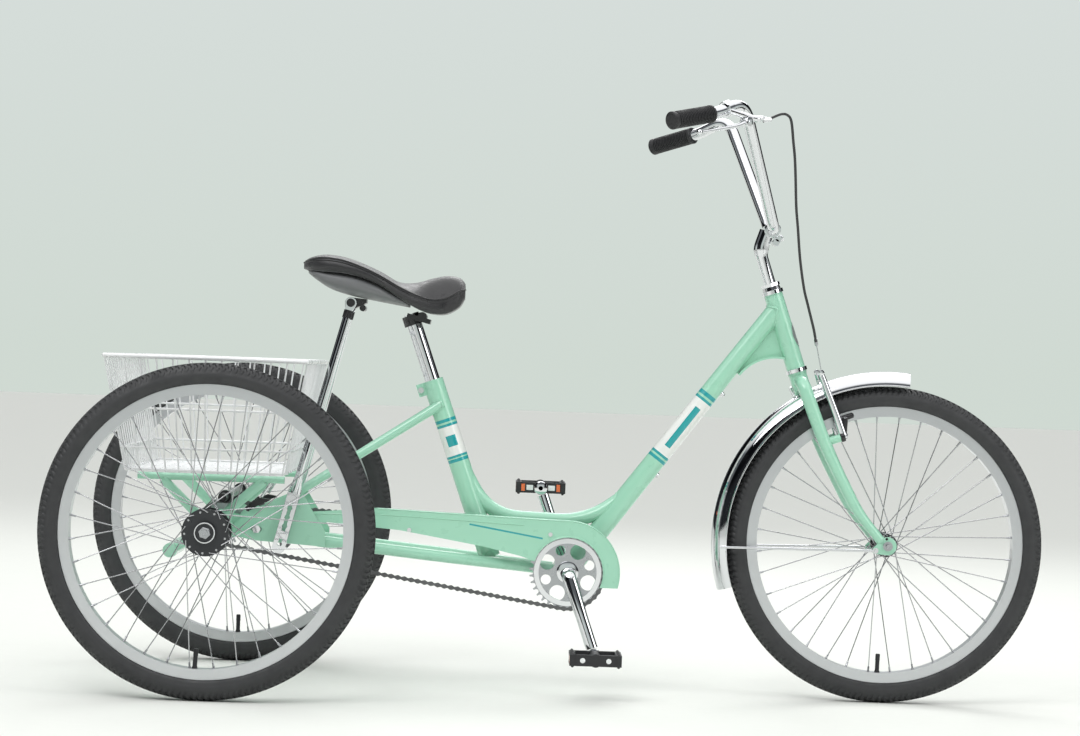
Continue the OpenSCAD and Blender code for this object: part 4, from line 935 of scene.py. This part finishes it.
def cranks():
    right = crank_arm()
    axle = barrel(BB - Vector((0, 38, 0)), BB + Vector((0, 38, 0)), 8)
    cones = both(turned(BB - Vector((0, 46.4, 0)), (0, 1, 0), [(0, 10), (1.5, 13), (20, 13.4)]))
    piece("crank_set", chrome, [*right, *[opposite(s) for s in right], axle, *cones],
          "crank_arms")


def pedal(name, foot, side):
    """A moulded cage with toothed rails, a middle barrel and reflectors."""
    mid_y = side * 140.5
    c = Vector((foot[0], mid_y, foot[2]))
    body = [block(c + Vector((way * 42.5, 0, 0)), (11, 83, 21)) for way in (-1, 1)]
    body += [block(c + Vector((0, way * 37, 0)), (78, 9, 21)) for way in (-1, 1)]
    body += [block(c + Vector((way * 24, 0, 0)), (30, 5, 13), 0.6) for way in (-1, 1)]
    body.append(hoop(c - Vector((0, 33, 0)), (0, 1, 0), [(0, 5.1), (0, 11), (66, 11), (66, 5.1)],
                     32))
    body.append(turned(c + Vector((0, side * 39, 0)), (0, side, 0),
                       [(0, 12.5), (1.6, 12.2), (2.4, 11), (2.4, 6)], 32))
    teeth = []
    for way in (-1, 1):
        for k in range(9):
            y = -36 + 9 * k
            for level in (-1, 1):
                base = c + Vector((way * 42.5, y, level * 10))
                teeth.append(turned(base, (0, 0, level), [(0, 4.6), (2.6, 3), (3.5, 1.4)], 4))
    piece(f"{name}_cage", pedal_look, body + teeth, name)
    out = Vector((0, side, 0))
    lens = []
    windows = []
    for way in (-1, 1):
        lens.append(block(c + Vector((way * 47.6, 0, 0)), (1, 52, 12), 0.3))
        lens.append(block(c + Vector((way * 34, -side * 41.2, 0)), (7, 0.8, 14), 0.3))
        windows.append(block(c + Vector((way * 21, -side * 41.2, 0)), (13, 0.8, 10), 0.3))
        windows.append(turned(c + Vector((way * 24, 0, 0)) + 40.6 * out, out,
                              [(0, 5.6), (0.8, 5.2), (1.2, 3.8)], 20))
    piece(f"{name}_reflectors", amber, lens, rides=name)
    piece(f"{name}_windows", clear, windows, rides=name)


# ---------- saddle ----------
# Along X: crown, shoulder and lower edge heights, half width
SADDLE_ROWS = [(-490, 799, 792, 781, 58), (-476, 806, 798, 777, 86), (-450, 811, 802, 776, 103),
               (-415, 807, 798, 774, 111), (-380, 796, 787, 767, 111), (-345, 781, 772, 754, 103),
               (-312, 764, 754, 734, 87), (-280, 764, 740, 716, 71), (-250, 773, 732, 706, 61),
               (-222, 779, 736, 706, 55), (-198, 776, 750, 719, 45), (-187, 765, 754, 736, 30)]


def resampled(rows, steps):
    """Rows of equal length, joined by smooth curves."""
    ends = [rows[0], *rows, rows[-1]]
    out = []
    for a, b, c, d in zip(ends, ends[1:], ends[2:], ends[3:]):
        out += [[blend(*column, i / steps) for column in zip(a, b, c, d)] for i in range(steps)]
    return out + [list(rows[-1])]


def cushion_ring(x, crown, shoulder, low, half):
    """One cross-section: a crowned top, a rolled edge, a seam and a skirt."""
    ring = []
    for j in range(-12, 13):
        u = j / 12
        ring.append(Vector((x, half * 0.965 * u, shoulder + (crown - shoulder) * (1 - u * u))))
    skirt = [(0.99, -0.06), (1.0, -0.16), (0.986, -0.21), (1.0, -0.28), (1.005, -0.6),
             (0.99, -0.86), (0.95, -0.97), (0.8, -1.0)]
    drop = shoulder - low
    right = [Vector((x, half * w, shoulder + drop * h)) for w, h in skirt]
    left = [flip(p) for p in reversed(right)]
    return ring + right + left


def loft(rings):
    n = len(rings[0])
    faces = grid_faces(len(rings), n)
    last = (len(rings) - 1) * n
    points = [p for ring in rings for p in ring]
    for base, ring in ((0, rings[0]), (last, rings[-1])):
        middle = sum(ring, Vector()) / n
        points.append(middle)
        faces += [(base + j, base + (j + 1) % n, len(points) - 1) for j in range(n)]
    return points, faces


def saddle():
    rows = resampled(SADDLE_ROWS, 6)
    shape = loft([cushion_ring(*row) for row in rows])
    cushion = piece("saddle_cushion_cover", cover, [shape], "saddle_cushion",
                    sharp=60)
    edge = [Vector((x, -0.985 * half, shoulder + 0.2)) for x, _, shoulder, _, half in rows]
    loop = edge + [flip(p) for p in reversed(edge)]
    piece("saddle_piping", cover, [sweep(loop, 1.5, 8, (0, 0, 1), closed=True)],
          rides="saddle_cushion", sharp=60)


# Along X: upper and lower heights, half width
PAN_ROWS = [(-480, 781, 772, 74), (-464, 781, 760, 92), (-440, 780, 746, 101),
            (-410, 778, 737, 107), (-380, 772, 731, 106), (-350, 761, 726, 97),
            (-325, 747, 722, 84), (-305, 734, 719, 73), (-292, 725, 717, 64)]


def pan_ring(x, top, low, half):
    ring = []
    for j in range(40):
        a = math.tau * j / 40
        c, s = math.cos(a), math.sin(a)
        ring.append(Vector((x, half * math.copysign(abs(c) ** 0.6, c),
                            (top + low) / 2 + (top - low) / 2 * math.copysign(abs(s) ** 0.7, s))))
    return ring


def saddle_pan():
    rows = resampled(PAN_ROWS, 5)
    rings = [pan_ring(*row) for row in rows]
    lip = [pan_ring(x, top - 1, top - 5, half + 1.2) for x, top, _, half in rows[3:-3]]
    piece("saddle_pan_shell", pan_look, [loft(rings), loft(lip)], "saddle_pan",
          sharp=60)


# ---------- rear struts ----------
def struts():
    """Two tubes, each with a slotted strap at its foot, a black sleeve and an eye at its head."""
    along = (STRUT_HEAD - STRUT_FOOT).normalized()
    across = Vector((along[2], 0, -along[0]))
    low = STRUT_FOOT - Vector((0, 80, 0))
    head = STRUT_HEAD - Vector((0, 34, 0))
    bend = low + 140 * along
    neck = bend.lerp(head, 0.945)
    path = rounded([low + 84 * along, bend, neck], [24], 10)
    tube = sweep(path, 7, 32, across)
    squeeze = sweep([low + s * along for s in (80, 92, 104, 116)], [12, 11, 8.5, 7.1], 24, across,
                    flat=0.45)
    sleeve = sweep([neck.lerp(head, -0.75), neck.lerp(head, 0.1)], 8.4, 28, across)

    def placed(u, v):
        p = low + v * along + u * across
        return p[0], p[2]

    slot_edge = []
    for side in (1, -1):
        for k in (range(-1, 5) if side > 0 else range(4, -2, -1)):
            for i in range(5):
                a = side * math.radians(-50 + 25 * i)
                slot_edge.append(placed(side * 4.6 * math.cos(a), k * STRUT_HOLE_PITCH
                                        + 4.6 * math.sin(a)))
    outline = [placed(u, v) for u, v in ((-12, 90), (12, 90), (12, -27), (7, -36), (-7, -36),
                                         (-12, -27))]
    strap = plate(outline, -82.5, -77.5, [slot_edge])
    eye_hole = circle(STRUT_HEAD[0], STRUT_HEAD[2], 4.6)
    eye = plate(hull_outline([(STRUT_HEAD[0], STRUT_HEAD[2], 11), (neck[0], neck[2], 6)]),
                -37, -31, [eye_hole])
    piece("strut_pair", chrome, both(tube, squeeze, strap, eye), "rear_struts")
    piece("strut_sleeves", grip_look, both(sleeve), rides="rear_struts")


# ---------- camera and light ----------
CAMERA_PLACE = (-0.1087, -5.2655, 0.6228)
CAMERA_LENS = 92.51
YAW, PITCH_UP, ROLL = 0.0130, -0.0022, 0.0367
LAMPS = [("key", (-2.0, -3.2, 4.2), (3.0, 2.0), 95), ("fill", (3.6, -2.6, 2.4), (2.0, 2.0), 45),
         ("back", (0.5, 3.4, 3.2), (3.5, 1.5), 60)]
LAMP_TARGET = Vector((0, 0, 0.5))
FLOOR_REACH = 30
# Colour of the room from the horizon and below (0) to straight up (1)
ROOM = [(0.0, (0.74, 0.82, 0.76)), (0.16, (0.80, 0.86, 0.84)), (0.30, (0.16, 0.17, 0.18)),
        (0.52, (0.13, 0.14, 0.15)), (0.66, (1.5, 1.5, 1.5)), (1.0, (1.7, 1.7, 1.7))]
CORNERS = [(0.21, (1, 1, 1)), (0.29, (0.03, 0.03, 0.035))]
ROOM_STRENGTH = 0.85


def add_camera():
    data = bpy.data.cameras.new("camera")
    data.sensor_width = 36
    data.lens = CAMERA_LENS
    data.clip_end = 60
    cam = add_object("camera", data)
    look = Vector((math.sin(YAW) * math.cos(PITCH_UP), math.cos(YAW) * math.cos(PITCH_UP),
                   math.sin(PITCH_UP)))
    right = Vector((math.cos(YAW), -math.sin(YAW), 0))
    up = right.cross(look)
    rolled_right = math.cos(ROLL) * right + math.sin(ROLL) * up
    rolled_up = -math.sin(ROLL) * right + math.cos(ROLL) * up
    turn = Matrix((rolled_right, rolled_up, -look)).transposed()
    cam.matrix_world = Matrix.Translation(CAMERA_PLACE) @ turn.to_4x4()
    bpy.context.scene.camera = cam


def add_light(name, place, size, power):
    data = bpy.data.lights.new(name, "AREA")
    data.shape = "RECTANGLE"
    data.size, data.size_y = size
    data.energy = power
    lamp = add_object(name, data)
    lamp.location = place
    lamp.rotation_euler = (LAMP_TARGET - Vector(place)).to_track_quat("-Z", "Y").to_euler()


def add_floor():
    mesh = bpy.data.meshes.new("floor")
    corners = [(x * FLOOR_REACH, y * FLOOR_REACH, 0) for x, y in ((-1, -1), (1, -1), (1, 1), (-1, 1))]
    mesh.from_pydata(corners, [], [(0, 1, 2, 3)])
    ground = add_object("floor", mesh)
    mesh.materials.append(Look("floor", (0.80, 0.82, 0.78), 0.9, shade=0.01, depth=0.0).mat)


def set_stops(ramp, stops):
    """Give a colour ramp its (place, colour) stops."""
    elements = ramp.color_ramp.elements
    elements[0].position, elements[1].position = stops[0][0], stops[-1][0]
    for place, _ in stops[1:-1]:
        elements.new(place)
    for element, (_, colour) in zip(elements, stops):
        element.color = (*colour, 1)


def add_world():
    """A bright room with a dark belt above the horizon and dark corners, to show in chrome."""
    world = bpy.data.worlds.new("studio")
    world.use_nodes = True
    tree = world.node_tree
    link = tree.links.new
    place, split, ramp, product, size, corners, shaded = [
        tree.nodes.new(f"ShaderNode{kind}") for kind in
        ("TexCoord", "SeparateXYZ", "ValToRGB", "Math", "Math", "ValToRGB", "Mix")]
    product.operation = "MULTIPLY"
    size.operation = "ABSOLUTE"
    shaded.data_type = "RGBA"
    shaded.blend_type = "MULTIPLY"
    shaded.inputs["Factor"].default_value = 1
    link(place.outputs["Generated"], split.inputs[0])
    link(split.outputs["Z"], ramp.inputs["Fac"])
    link(split.outputs["X"], product.inputs[0])
    link(split.outputs["Y"], product.inputs[1])
    link(product.outputs[0], size.inputs[0])
    link(size.outputs[0], corners.inputs["Fac"])
    link(ramp.outputs["Color"], shaded.inputs[MIX_A])
    link(corners.outputs["Color"], shaded.inputs[MIX_B])
    link(shaded.outputs[MIX_OUT], tree.nodes["Background"].inputs["Color"])
    set_stops(corners, CORNERS)
    set_stops(ramp, ROOM)
    tree.nodes["Background"].inputs["Strength"].default_value = ROOM_STRENGTH
    bpy.context.scene.world = world
    bpy.context.scene.view_settings.view_transform = "Standard"


def main():
    add_camera()
    add_floor()
    add_world()
    for lamp in LAMPS:
        add_light(*lamp)
    dress_cad()
    for name, hole_r, flange_y in (("front", 18.5, 29), ("left", 36.6, 26), ("right", 36.6, 26)):
        wheel(name, WHEELS[name], hole_r, flange_y)
    valves()
    rear_caps()
    for build in (curved_tube, chainstays, weld_beads, cable_bosses, head_badge, guard_beads, fork,
                  handlebar, stem, grips, brake_lever, brake_cable, fender_edges, basket, chain,
                  chainring_trim, cranks, saddle, saddle_pan, struts):
        build()
    brake_arm("brake_arm_right", False)
    brake_arm("brake_arm_left", True)
    pedal("pedal_right", BB + CRANK_LEN * CRANK_DIR, -1)
    pedal("pedal_left", BB - CRANK_LEN * CRANK_DIR, 1)


main()
